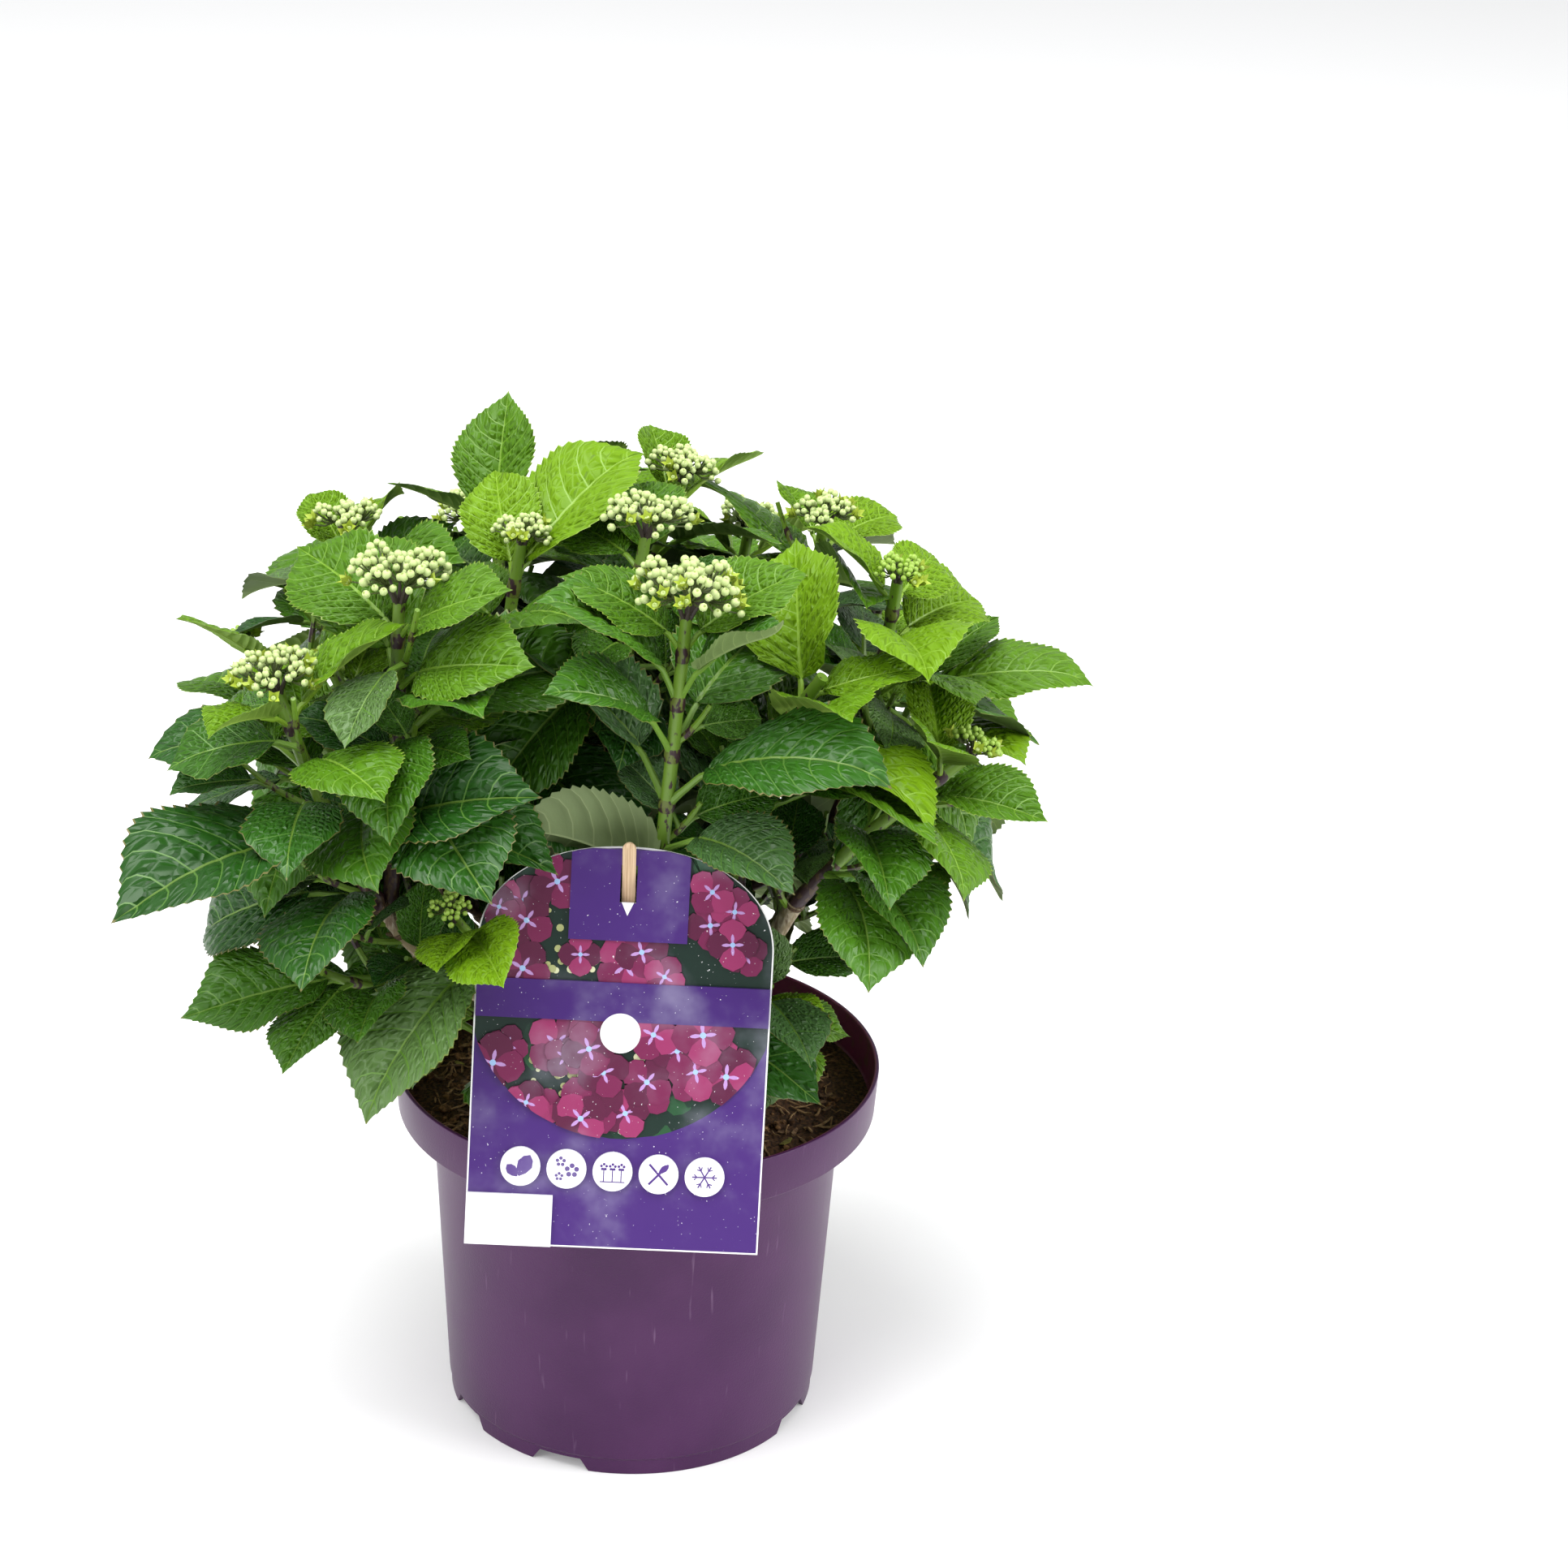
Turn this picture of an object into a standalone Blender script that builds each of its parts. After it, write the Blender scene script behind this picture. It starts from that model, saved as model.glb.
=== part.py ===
"""A potted mophead hydrangea in bud: woody canes, leafy shoots, soil, pot, care tag and stick.

Metres, +Z up. The origin is the middle of the pot's flat underside, and -Y is the front of the plant.
Canes rise from flat cuts at the soil. A shoot is one solid: a green stem, opposite pairs of leaves that
turn a quarter from pair to pair, and a flat-topped head of buds. A leaf that would touch what is already
there is swung, tilted and made smaller by a seeded rule, and left out if it still finds no room.
"""

import math
import random
from collections import namedtuple

import bmesh
import bpy
from mathutils import Matrix, Vector
from mathutils.bvhtree import BVHTree

# ------------------------------------------------------------------------------- pot, soil and tag
GAP = 0.0003  # kept between solids that touch on the real plant

RIM_RADIUS = 0.095  # a 19 cm nursery pot
POT_HEIGHT = 0.146
BAND_HEIGHT = 0.0185
BAND_TAPER = 0.0012
SHOULDER_RADIUS = 0.0805  # of the body, just under the rim band
FOOT_RADIUS = 0.0733
FOOT_HEIGHT = 0.0065
FOOT_STEP = 0.0008  # the foot ring stands in by this much
POT_WALL = 0.0018
LIP_ROUND = 0.0006
FLOOR_HEIGHT = 0.008
PAD_RADIUS = 0.034  # the floor's middle comes down to the ground
PAD_SLOPE = 0.005
POT_SIDES = 40

NOTCH_TURNS = [math.radians(a) for a in (-112, -28, 26, 88, 150, 208)]
NOTCH_WIDTH_LOW, NOTCH_WIDTH_HIGH, NOTCH_HEIGHT = 0.024, 0.017, 0.0052
NOTCH_REACH = 0.01  # of a notch's cutter, to each side of the foot ring
CUT_PAST = 0.004  # how far a cutter runs past what it cuts

SOIL_DEPTH = 0.016  # of the soil under the rim
SOIL_LEVEL = POT_HEIGHT - SOIL_DEPTH
SOIL_DISH = 0.0001  # the soil falls by this much to the wall

TAG_WIDTH, TAG_HEIGHT, TAG_THICKNESS = 0.108, 0.150, 0.0008
TAG_ARCH = 0.038  # height of the rounded top
TAG_ARCH_POWER = 2.15
TAG_LEAN = math.radians(15)
TAG_ROLL = math.radians(1.65)
TAG_MIDDLE_X = -0.0085
TAG_FOOT_Z = 0.1195
TAG_STAND_OFF = 0.0004  # more room at the rim for the tag's roll
TAG_ARCH_STEPS = 18
SLOT_WIDTH, SLOT_LENGTH, SLOT_DROP = 0.0060, 0.0140, 0.0135
STICK_WIDTH, STICK_THICKNESS, STICK_ABOVE_TAG = 0.0050, 0.0016, 0.0032
STICK_TOP_STEPS = 6

# ------------------------------------------------------------------------------------ woody canes
LENGTH_STEPS = 16  # chords that a stem's length is measured along
CANE_SIDES = 6
CANE_TAPER = 0.76  # of the radius, from foot to tip
NODE_SPACING = 0.024  # between the swollen rings that old leaves left
NODE_SWELL = 1.18
ROOT_FLARE = 1.4
FLARE_HEIGHT = 0.006
TIP_STEM_LEAN = 0.5  # how much a stem at a tip goes on in its parent's direction
SIDE_STEM_ANGLE = math.radians(52)
GUIDE_REACH = 0.42  # of the way to the tip, before a stem curves
GUIDE_HEIGHT = 0.5  # of a cane's rise, where its curve is widest
SPREAD_AT_GUIDE = 0.7

# A cane rises from its foot on the soil; spread is how early it leans out.
Cane = namedtuple("Cane", "name foot tip radius spread")
CANES = [
    Cane("cane_left", (-0.022, -0.014), (-0.081, -0.050, 0.2145), 0.0050, 0.45),
    Cane("cane_back_left", (-0.022, 0.014), (-0.082, 0.026, 0.2180), 0.0045, 0.40),
    Cane("cane_centre_front", (-0.002, -0.024), (0.004, -0.046, 0.2180), 0.0044, 0.50),
    Cane("cane_centre", (0.002, 0.000), (-0.010, 0.003, 0.2220), 0.0046, 0.50),
    Cane("cane_centre_back", (-0.004, 0.026), (-0.016, 0.054, 0.2250), 0.0043, 0.50),
    Cane("cane_right_front", (0.024, -0.012), (0.058, -0.036, 0.2300), 0.0044, 0.45),
    Cane("cane_right", (0.030, 0.010), (0.070, 0.022, 0.2250), 0.0043, 0.45),
    Cane("cane_right_back", (0.018, 0.030), (0.048, 0.062, 0.2200), 0.0043, 0.45),
    Cane("cane_back", (-0.014, 0.040), (-0.042, 0.094, 0.2080), 0.0042, 0.45),
    Cane("cane_back_right", (0.008, 0.042), (0.022, 0.100, 0.2100), 0.0042, 0.45),
]
# A bough grows on from a place along a cane, 1 at its tip.
Bough = namedtuple("Bough", "name cane at tip radius")
BOUGHS = [
    Bough("bough_left_front", "cane_left", 1.0, (-0.0960, -0.053, 0.2330), 0.0037),
    Bough("bough_left_middle", "cane_left", 0.86, (-0.0815, -0.040, 0.2450), 0.0034),
]

# ----------------------------------------------------------------------------------- leafy shoots
# The tip is the top of the stem, the turn is that of the highest pair in degrees, the leaf is the
# length of the longest blade and the bloom is the width of the bud head, 0 for a leafy tip.
Shoot = namedtuple("Shoot", "name cane at tip pairs turn leaf bloom")
SHOOTS = [
    Shoot("shoot_centre", "cane_centre_front", 1.0, (0.014, -0.056, 0.350), 5, 10, 0.080, 0.046),
    Shoot("shoot_left_middle", "bough_left_middle", 1.0, (-0.0890, -0.036, 0.346), 5, 20, 0.074, 0.042),
    Shoot("shoot_left_front", "bough_left_front", 1.0, (-0.1310, -0.056, 0.318), 5, 15, 0.082, 0.034),
    Shoot("shoot_left_inner", "bough_left_front", 0.8, (-0.1140, -0.028, 0.316), 4, 60, 0.062, 0.022),
    Shoot("shoot_left_back", "cane_back_left", 1.0, (-0.1140, 0.036, 0.347), 5, 30, 0.072, 0.026),
    Shoot("shoot_left_edge", "cane_back_left", 0.75, (-0.1520, 0.018, 0.309), 4, 80, 0.066, 0.012),
    Shoot("shoot_upper_left", "cane_centre", 0.72, (-0.0470, 0.008, 0.354), 5, 20, 0.072, 0.024),
    Shoot("shoot_upper", "cane_centre", 1.0, (-0.0010, 0.000, 0.361), 5, 70, 0.072, 0.036),
    Shoot("shoot_upper_back", "cane_centre_back", 1.0, (0.0125, 0.062, 0.362), 5, 25, 0.072, 0.028),
    Shoot("shoot_top", "cane_centre_back", 0.75, (-0.0590, 0.066, 0.351), 5, 80, 0.076, 0.0),
    Shoot("shoot_right_back", "cane_right_back", 1.0, (0.0670, 0.050, 0.350), 5, 50, 0.070, 0.026),
    Shoot("shoot_right_middle", "cane_right", 1.0, (0.0930, 0.004, 0.344), 5, 10, 0.072, 0.020),
    Shoot("shoot_right_small", "cane_right", 0.72, (0.1100, 0.040, 0.300), 3, 35, 0.066, 0.012),
    Shoot("shoot_right_front", "cane_right_front", 1.0, (0.1210, -0.026, 0.287), 4, 85, 0.070, 0.020),
    Shoot("shoot_front_right", "cane_right_front", 0.7, (0.0640, -0.044, 0.324), 5, 40, 0.074, 0.0),
    Shoot("shoot_low_left", "cane_left", 0.66, (-0.0675, -0.080, 0.243), 3, 80, 0.056, 0.016),
    Shoot("shoot_skirt_left", "cane_left", 0.80, (-0.1160, -0.067, 0.213), 2, 20, 0.070, 0.0),
    Shoot("shoot_low_right", "cane_right", 0.22, (0.0480, -0.016, 0.185), 2, 60, 0.044, 0.0),
    Shoot("shoot_back_left", "cane_back", 1.0, (-0.0700, 0.112, 0.325), 4, 35, 0.074, 0.030),
    Shoot("shoot_back", "cane_back", 0.75, (-0.0200, 0.116, 0.342), 4, 75, 0.074, 0.034),
    Shoot("shoot_back_right", "cane_back_right", 1.0, (0.0400, 0.112, 0.324), 4, 15, 0.072, 0.030),
    Shoot("shoot_far_right", "cane_right_back", 0.72, (0.0920, 0.088, 0.300), 4, 65, 0.062, 0.024),
    Shoot("shoot_far_left", "cane_back_left", 0.55, (-0.1180, 0.086, 0.285), 4, 20, 0.072, 0.022),
    Shoot("shoot_low_back", "cane_back", 0.55, (-0.0600, 0.140, 0.255), 3, 50, 0.068, 0.0),
    Shoot("shoot_low_back_right", "cane_back_right", 0.62, (0.0600, 0.136, 0.262), 3, 10, 0.068, 0.0),
    Shoot("shoot_skirt_back", "cane_back", 0.30, (-0.0060, 0.128, 0.222), 3, 40, 0.074, 0.0),
    Shoot("shoot_skirt_right", "cane_right_back", 0.45, (0.0980, 0.066, 0.236), 2, 20, 0.062, 0.0),
    Shoot("shoot_skirt_far_left", "cane_back_left", 0.35, (-0.0960, 0.070, 0.228), 3, 70, 0.066, 0.0),
]

STEM_RADIUS_LOW, STEM_RADIUS_TOP = 0.0026, 0.0019
STEM_SIDES = 5
STEM_RINGS = 6
# By pair, highest first: step down the stem, blade length, lift of the blade's foot, bend, length of stalk.
Pair = namedtuple("Pair", "step size lift bend stalk")
PAIRS = [
    Pair(0.012, 0.58, 40, 24, 0.008),
    Pair(0.017, 0.88, 26, 34, 0.014),
    Pair(0.019, 1.00, 8, 42, 0.018),
    Pair(0.020, 1.00, -4, 46, 0.020),
    Pair(0.020, 0.92, -14, 48, 0.020),
    Pair(0.020, 0.84, -20, 48, 0.018),
]
PAIR_ORDER = (1, 2, 0, 3, 4, 5)  # the leaves that show most find their place first

# Leaves that light and their own weight have turned out of the rule's way, by shoot, pair and side:
# the way they point, in degrees from +X, the lift of the blade's foot and the blade's length.
Turned = namedtuple("Turned", "turn lift length")
TURNED = {
    ("shoot_centre", 1, 0): Turned(-165, 50, 0.055),
    ("shoot_centre", 1, 1): Turned(-30, 45, 0.042),
    ("shoot_centre", 2, 0): Turned(-135, 40, 0.048),
    ("shoot_centre", 2, 1): Turned(55, 30, 0.066),
    ("shoot_centre", 3, 0): Turned(135, 35, 0.070),
    ("shoot_centre", 3, 1): Turned(-30, 30, 0.074),
    ("shoot_centre", 4, 0): Turned(-130, 50, 0.060),
    ("shoot_centre", 4, 1): Turned(-50, 15, 0.050),
    ("shoot_front_right", 0, 0): Turned(95, 55, 0.058),
    ("shoot_front_right", 0, 1): Turned(-20, 45, 0.056),
    ("shoot_front_right", 1, 0): Turned(-45, 35, 0.055),
    ("shoot_front_right", 2, 0): Turned(-40, 15, 0.072),
    ("shoot_front_right", 3, 0): Turned(-15, 20, 0.060),
    ("shoot_left_front", 0, 1): Turned(-125, 20, 0.036),
    ("shoot_left_front", 1, 0): Turned(140, 5, 0.052),
    ("shoot_left_front", 1, 1): Turned(-65, 20, 0.052),
    ("shoot_left_front", 2, 0): Turned(120, 15, 0.055),
    ("shoot_left_front", 3, 0): Turned(-140, 15, 0.082),
    ("shoot_left_front", 3, 1): Turned(-40, 35, 0.068),
    ("shoot_left_front", 4, 0): Turned(-110, 10, 0.058),
    ("shoot_left_middle", 0, 0): Turned(135, 25, 0.054),
    ("shoot_left_middle", 0, 1): Turned(-35, 35, 0.046),
    ("shoot_left_middle", 1, 1): Turned(-45, 25, 0.052),
    ("shoot_left_edge", 0, 0): Turned(-150, 50, 0.044),
    ("shoot_left_edge", 1, 0): Turned(160, 20, 0.054),
    ("shoot_left_back", 0, 0): Turned(130, 40, 0.030),
    ("shoot_left_back", 0, 1): Turned(70, 30, 0.040),
    ("shoot_upper_left", 0, 0): Turned(40, 45, 0.068),
    ("shoot_upper_left", 0, 1): Turned(112, 60, 0.044),
    ("shoot_top", 0, 0): Turned(170, 25, 0.044),
    ("shoot_top", 0, 1): Turned(95, 60, 0.056),
    ("shoot_upper", 0, 0): Turned(135, 25, 0.046),
    ("shoot_upper", 0, 1): Turned(90, 25, 0.046),
    ("shoot_upper_back", 0, 0): Turned(105, 45, 0.034),
    ("shoot_upper_back", 0, 1): Turned(40, 25, 0.042),
    ("shoot_right_back", 0, 0): Turned(110, 30, 0.034),
    ("shoot_right_back", 0, 1): Turned(45, 15, 0.038),
    ("shoot_right_middle", 0, 0): Turned(60, 20, 0.036),
    ("shoot_right_middle", 1, 0): Turned(45, 15, 0.046),
    ("shoot_right_middle", 2, 0): Turned(-50, 25, 0.050),
    ("shoot_right_small", 0, 0): Turned(-10, 20, 0.064),
    ("shoot_right_small", 0, 1): Turned(40, 35, 0.042),
    ("shoot_right_front", 1, 0): Turned(-30, 15, 0.046),
    ("shoot_right_front", 1, 1): Turned(-65, 0, 0.050),
    ("shoot_right_front", 2, 0): Turned(-85, 15, 0.052),
    ("shoot_right_front", 3, 0): Turned(-55, 5, 0.054),
    ("shoot_right_front", 3, 1): Turned(-70, 0, 0.058),
    ("shoot_low_left", 0, 0): Turned(-75, 10, 0.042),
    ("shoot_low_left", 1, 0): Turned(-130, -20, 0.068),
    ("shoot_low_left", 2, 0): Turned(-100, 20, 0.042),
    ("shoot_low_right", 0, 0): Turned(-55, 25, 0.036),
    ("shoot_low_right", 1, 0): Turned(-65, 0, 0.044),
    ("shoot_skirt_left", 0, 0): Turned(-165, 0, 0.058),
    ("shoot_skirt_left", 0, 1): Turned(-125, -10, 0.048),
    ("shoot_skirt_left", 1, 1): Turned(-95, 10, 0.045),
}
LEAST_FOOT = 0.003  # of bare stem under the lowest pair
QUARTER = math.pi / 2
SWING_JITTER = math.radians(14)
LIFT_JITTER = math.radians(8)
ROLL_JITTER = math.radians(16)
SIZE_JITTER = 0.10
OUTWARD_DROOP = math.radians(16)
OUTWARD_ROLL = math.radians(26)  # the upper side turns to the light outside the crown
STALK_LIFT = math.radians(16)
CROWN_AXIS = Vector((-0.010, 0.020, 0.0))

WHOLE_LEAF = 0.075  # the length of blade that the stalks above belong to
LEAF_WIDTH = 0.62  # of its length
LEAF_THICKNESS = 0.022  # of its length, at the midrib; it thins to the edge
LEAF_FOLD = math.radians(13)
LEAF_STATIONS = (0.15, 0.42, 0.74)
# Powers of the ovate outline: round at the foot, drawn out at the tip.
OUTLINE_RISE, OUTLINE_FALL = 0.68, 1.12
OUTLINE_PEAK = OUTLINE_RISE / (OUTLINE_RISE + OUTLINE_FALL)
STALK_RADIUS_ROOT, STALK_RADIUS_BLADE = 0.0014, 0.0010
ROOT_SINK = 0.0004  # past the stem's middle

TRIES = 26
SWING_STEP = math.radians(2.6)
TILT_STEP = math.radians(2.0)
SHRINK_STEP = 0.012
CLEARANCE = 0.0007

HEAD_LOBES = 6
HEAD_VALLEY = 0.74
HEAD_DEPTH = 0.44  # of its width
HEAD_PROFILE = ((0.10, 0.0), (0.48, 0.70), (0.40, 1.0))  # share of the width, share of the depth
HEAD_DOME = 1.12
HEAD_SINK = 0.003


# ----------------------------------------------------------------------------------- mesh helpers
def clear_scene():
    for old in list(bpy.data.objects):
        bpy.data.objects.remove(old)


def new_object(name, points, faces):
    """A mesh object whose faces point out."""
    mesh = bpy.data.meshes.new(name)
    mesh.from_pydata([tuple(p) for p in points], [], faces)
    shape = bmesh.new()
    shape.from_mesh(mesh)
    bmesh.ops.recalc_face_normals(shape, faces=shape.faces)
    shape.to_mesh(mesh)
    shape.free()
    made = bpy.data.objects.new(name, mesh)
    bpy.context.scene.collection.objects.link(made)
    return made


def finish(made, colour, roughness):
    """Gives a sub-part its own plain material and smooth shading between sharp edges."""
    material = bpy.data.materials.new(made.name + "_finish")
    material.use_nodes = True
    shader = material.node_tree.nodes["Principled BSDF"]
    shader.inputs["Base Color"].default_value = (*colour, 1.0)
    shader.inputs["Roughness"].default_value = roughness
    shader.inputs["Metallic"].default_value = 0.0
    made.data.materials.clear()
    made.data.materials.append(material)
    made.data.shade_smooth()
    made.data.set_sharp_from_angle(angle=math.radians(40))


def loft_faces(rings, sides):
    """Faces of a closed skin over rings of equal size, with flat ends. A last ring of one point is a tip."""
    faces = [list(reversed(range(sides)))]
    for row in range(rings - 1):
        for i in range(sides):
            j = (i + 1) % sides
            faces.append([row * sides + i, row * sides + j, (row + 1) * sides + j, (row + 1) * sides + i])
    faces.append([(rings - 1) * sides + i for i in range(sides)])
    return faces


def tip_faces(rings, sides):
    """As loft_faces, but the skin closes to a single point after the last ring."""
    faces = loft_faces(rings, sides)[:-1]
    last = (rings - 1) * sides
    for i in range(sides):
        faces.append([last + i, last + (i + 1) % sides, rings * sides])
    return faces


def turned(name, profile, sides):
    """A closed profile of radius and height, from the axis round to the axis, turned about Z."""
    points = []
    faces = []
    ring_starts = []
    for radius, height in profile:
        ring_starts.append(len(points))
        if radius == 0.0:
            points.append((0.0, 0.0, height))
            continue
        for i in range(sides):
            angle = math.tau * i / sides
            points.append((radius * math.cos(angle), radius * math.sin(angle), height))
    for low, high in zip(range(len(profile) - 1), range(1, len(profile))):
        for i in range(sides):
            j = (i + 1) % sides
            a, b = ring_starts[low], ring_starts[high]
            if profile[low][0] == 0.0:
                faces.append([a, b + i, b + j])
            elif profile[high][0] == 0.0:
                faces.append([a + i, b, a + j])
            else:
                faces.append([a + i, b + i, b + j, a + j])
    return new_object(name, points, faces)


def cut(target, cutter):
    """Cuts one solid out of another and hides the cutter."""
    cutter.hide_render = True
    cutter.display_type = "WIRE"
    modifier = target.modifiers.new("cut_" + cutter.name, "BOOLEAN")
    modifier.operation = "DIFFERENCE"
    modifier.solver = "EXACT"
    modifier.object = cutter


def fuse(made, pieces):
    """Joins closed pieces to a solid in one union, then drops sealed hollows and loose scraps."""
    group = bpy.data.collections.new(made.name + "_pieces")
    for piece in pieces:
        bpy.context.scene.collection.objects.unlink(piece)
        group.objects.link(piece)
    union = made.modifiers.new("fuse", "BOOLEAN")
    union.operation = "UNION"
    union.operand_type = "COLLECTION"
    union.collection = group
    union.solver = "MANIFOLD"
    graph = bpy.context.evaluated_depsgraph_get()
    joined = bpy.data.meshes.new_from_object(made.evaluated_get(graph))
    made.modifiers.clear()
    made.data = joined
    for piece in pieces:
        bpy.data.objects.remove(piece)
    bpy.data.collections.remove(group)
    keep_largest(joined)


def keep_largest(mesh):
    shape = bmesh.new()
    shape.from_mesh(mesh)
    islands = []
    left = set(shape.verts)
    while left:
        island = set()
        front = [left.pop()]
        while front:
            vertex = front.pop()
            island.add(vertex)
            for edge in vertex.link_edges:
                other = edge.other_vert(vertex)
                if other in left:
                    left.discard(other)
                    front.append(other)
        islands.append(island)
    islands.sort(key=len)
    scraps = [vertex for island in islands[:-1] for vertex in island]
    bmesh.ops.delete(shape, geom=scraps, context="VERTS")
    shape.to_mesh(mesh)
    shape.free()


# -------------------------------------------------------------------------------- pot, soil, tag
def pot_profile():
    """The wall's closed section, from the pad's middle up the outside and down the inside."""
    band_foot = POT_HEIGHT - BAND_HEIGHT
    band_radius = RIM_RADIUS - BAND_TAPER
    body_foot = FOOT_RADIUS + FOOT_STEP
    floor_top = FLOOR_HEIGHT + POT_WALL
    return [
        (0.0, 0.0),
        (PAD_RADIUS, 0.0),
        (PAD_RADIUS + PAD_SLOPE, FLOOR_HEIGHT),
        (FOOT_RADIUS - POT_WALL, FLOOR_HEIGHT),
        (FOOT_RADIUS - POT_WALL, 0.0),
        (FOOT_RADIUS, 0.0),
        (FOOT_RADIUS, FOOT_HEIGHT),
        (body_foot, FOOT_HEIGHT + FOOT_STEP),
        (SHOULDER_RADIUS, band_foot),
        (band_radius, band_foot),
        (RIM_RADIUS, POT_HEIGHT - LIP_ROUND),
        (RIM_RADIUS - LIP_ROUND, POT_HEIGHT),
        (RIM_RADIUS - POT_WALL, POT_HEIGHT),
        (band_radius - POT_WALL, band_foot + POT_WALL),
        (SHOULDER_RADIUS - POT_WALL, band_foot + POT_WALL),
        (body_foot - POT_WALL, floor_top),
        (PAD_RADIUS + PAD_SLOPE + POT_WALL, floor_top),
        (PAD_RADIUS + POT_WALL, POT_WALL),
        (0.0, POT_WALL),
    ]


def notch_cutter(name, turn):
    """A wedge that is wider at the ground, across the foot ring."""
    rows = (
        (NOTCH_WIDTH_LOW, -CUT_PAST),
        (NOTCH_WIDTH_LOW, 0.0),
        (NOTCH_WIDTH_HIGH, NOTCH_HEIGHT),
    )
    points = []
    for radius in (FOOT_RADIUS - NOTCH_REACH, FOOT_RADIUS + NOTCH_REACH):
        points += [(radius, -width / 2, height) for width, height in rows]
        points += [(radius, width / 2, height) for width, height in reversed(rows)]
    spin = Matrix.Rotation(turn, 3, "Z")
    return new_object(name, [spin @ Vector(p) for p in points], loft_faces(2, 2 * len(rows)))


def make_pot():
    pot = turned("pot", pot_profile(), POT_SIDES)
    for index, turn in enumerate(NOTCH_TURNS):
        cut(pot, notch_cutter(f"notch_{index}", turn))
    finish(pot, (0.13, 0.045, 0.12), 0.38)
    return pot


def make_soil():
    band_foot = POT_HEIGHT - BAND_HEIGHT
    floor_top = FLOOR_HEIGHT + POT_WALL + GAP
    clear = POT_WALL + GAP
    body_foot = FOOT_RADIUS + FOOT_STEP - clear
    profile = [
        (0.0, POT_WALL + GAP),
        (PAD_RADIUS, POT_WALL + GAP),
        (PAD_RADIUS + PAD_SLOPE, floor_top),
        (body_foot, floor_top),
        (SHOULDER_RADIUS - clear, band_foot + clear),
        (RIM_RADIUS - BAND_TAPER - clear, band_foot + clear),
        (RIM_RADIUS - BAND_TAPER - clear, SOIL_LEVEL - SOIL_DISH),
        (0.0, SOIL_LEVEL),
    ]
    soil = turned("soil", profile, POT_SIDES)
    finish(soil, (0.035, 0.018, 0.010), 0.95)
    return soil


def tag_place():
    """The frame of the tag: X along its foot, Y up its face, Z out of its front."""
    rim_clear = RIM_RADIUS + GAP + TAG_THICKNESS / 2 / math.cos(TAG_LEAN)
    foot_y = -rim_clear - (POT_HEIGHT - TAG_FOOT_Z) * math.tan(TAG_LEAN) - TAG_STAND_OFF
    upright = Matrix.Rotation(math.pi / 2 - TAG_LEAN, 4, "X")
    place = Matrix.Translation((TAG_MIDDLE_X, foot_y, TAG_FOOT_Z))
    return place @ upright @ Matrix.Rotation(-TAG_ROLL, 4, "Z")


def tag_outline():
    """The card's edge, from its right foot corner round the arch to its left."""
    half = TAG_WIDTH / 2
    side = TAG_HEIGHT - TAG_ARCH
    outline = [(half, 0.0)]
    for i in range(TAG_ARCH_STEPS + 1):
        angle = math.pi * i / TAG_ARCH_STEPS
        across = abs(math.cos(angle)) ** (2 / TAG_ARCH_POWER) * math.copysign(1, math.cos(angle))
        up = max(math.sin(angle), 0.0) ** (2 / TAG_ARCH_POWER)
        outline.append((half * across, side + TAG_ARCH * up))
    outline.append((-half, 0.0))
    return outline


def make_tag():
    outline = tag_outline()
    count = len(outline)
    points = []
    for z in (-TAG_THICKNESS / 2, TAG_THICKNESS / 2):
        points += [tag_place() @ Vector((x, y, z)) for x, y in outline]
    tag = new_object("care_tag", points, loft_faces(2, count))
    slot = []
    for z in (-CUT_PAST, CUT_PAST):
        for x, y in ((-1, -1), (1, -1), (1, 1), (-1, 1)):
            middle = TAG_HEIGHT - SLOT_DROP
            slot.append(tag_place() @ Vector((x * SLOT_WIDTH / 2, middle + y * SLOT_LENGTH / 2, z)))
    cut(tag, new_object("tag_slot", slot, loft_faces(2, 4)))
    finish(tag, (0.16, 0.07, 0.30), 0.3)
    return tag


def make_stick():
    """A flat wooden stick that stands in the soil and comes through the tag's slot."""
    crossing = tag_place() @ Vector((0.0, TAG_HEIGHT - SLOT_DROP, 0.0))
    top = (tag_place() @ Vector((0.0, TAG_HEIGHT, 0.0))).z + STICK_ABOVE_TAG
    half = STICK_WIDTH / 2
    outline = [(-half, SOIL_LEVEL + GAP), (half, SOIL_LEVEL + GAP)]
    for i in range(STICK_TOP_STEPS + 1):
        angle = math.pi * i / STICK_TOP_STEPS
        outline.append((half * math.cos(angle), top - half + half * math.sin(angle)))
    points = []
    for y in (-STICK_THICKNESS / 2, STICK_THICKNESS / 2):
        points += [Vector((crossing.x + x, crossing.y + y, z)) for x, z in outline]
    stick = new_object("tag_stick", points, loft_faces(2, len(outline)))
    finish(stick, (0.72, 0.52, 0.33), 0.7)
    return stick


# -------------------------------------------------------------------------------- stems and canes
class Stem:
    """A stem along a curve with a start, a guide and an end, tapering from one radius to another."""

    def __init__(self, start, guide, end, low, top):
        self.start, self.guide, self.end = start, guide, end
        self.low, self.top = low, top
        self.foot_plane = None
        steps = [self.point(i / LENGTH_STEPS) for i in range(LENGTH_STEPS + 1)]
        self.length = sum((b - a).length for a, b in zip(steps, steps[1:]))

    def point(self, t):
        return (1 - t) ** 2 * self.start + 2 * t * (1 - t) * self.guide + t * t * self.end

    def along(self, t):
        return ((1 - t) * (self.guide - self.start) + t * (self.end - self.guide)).normalized()

    def radius(self, t):
        return self.low + (self.top - self.low) * t


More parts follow.
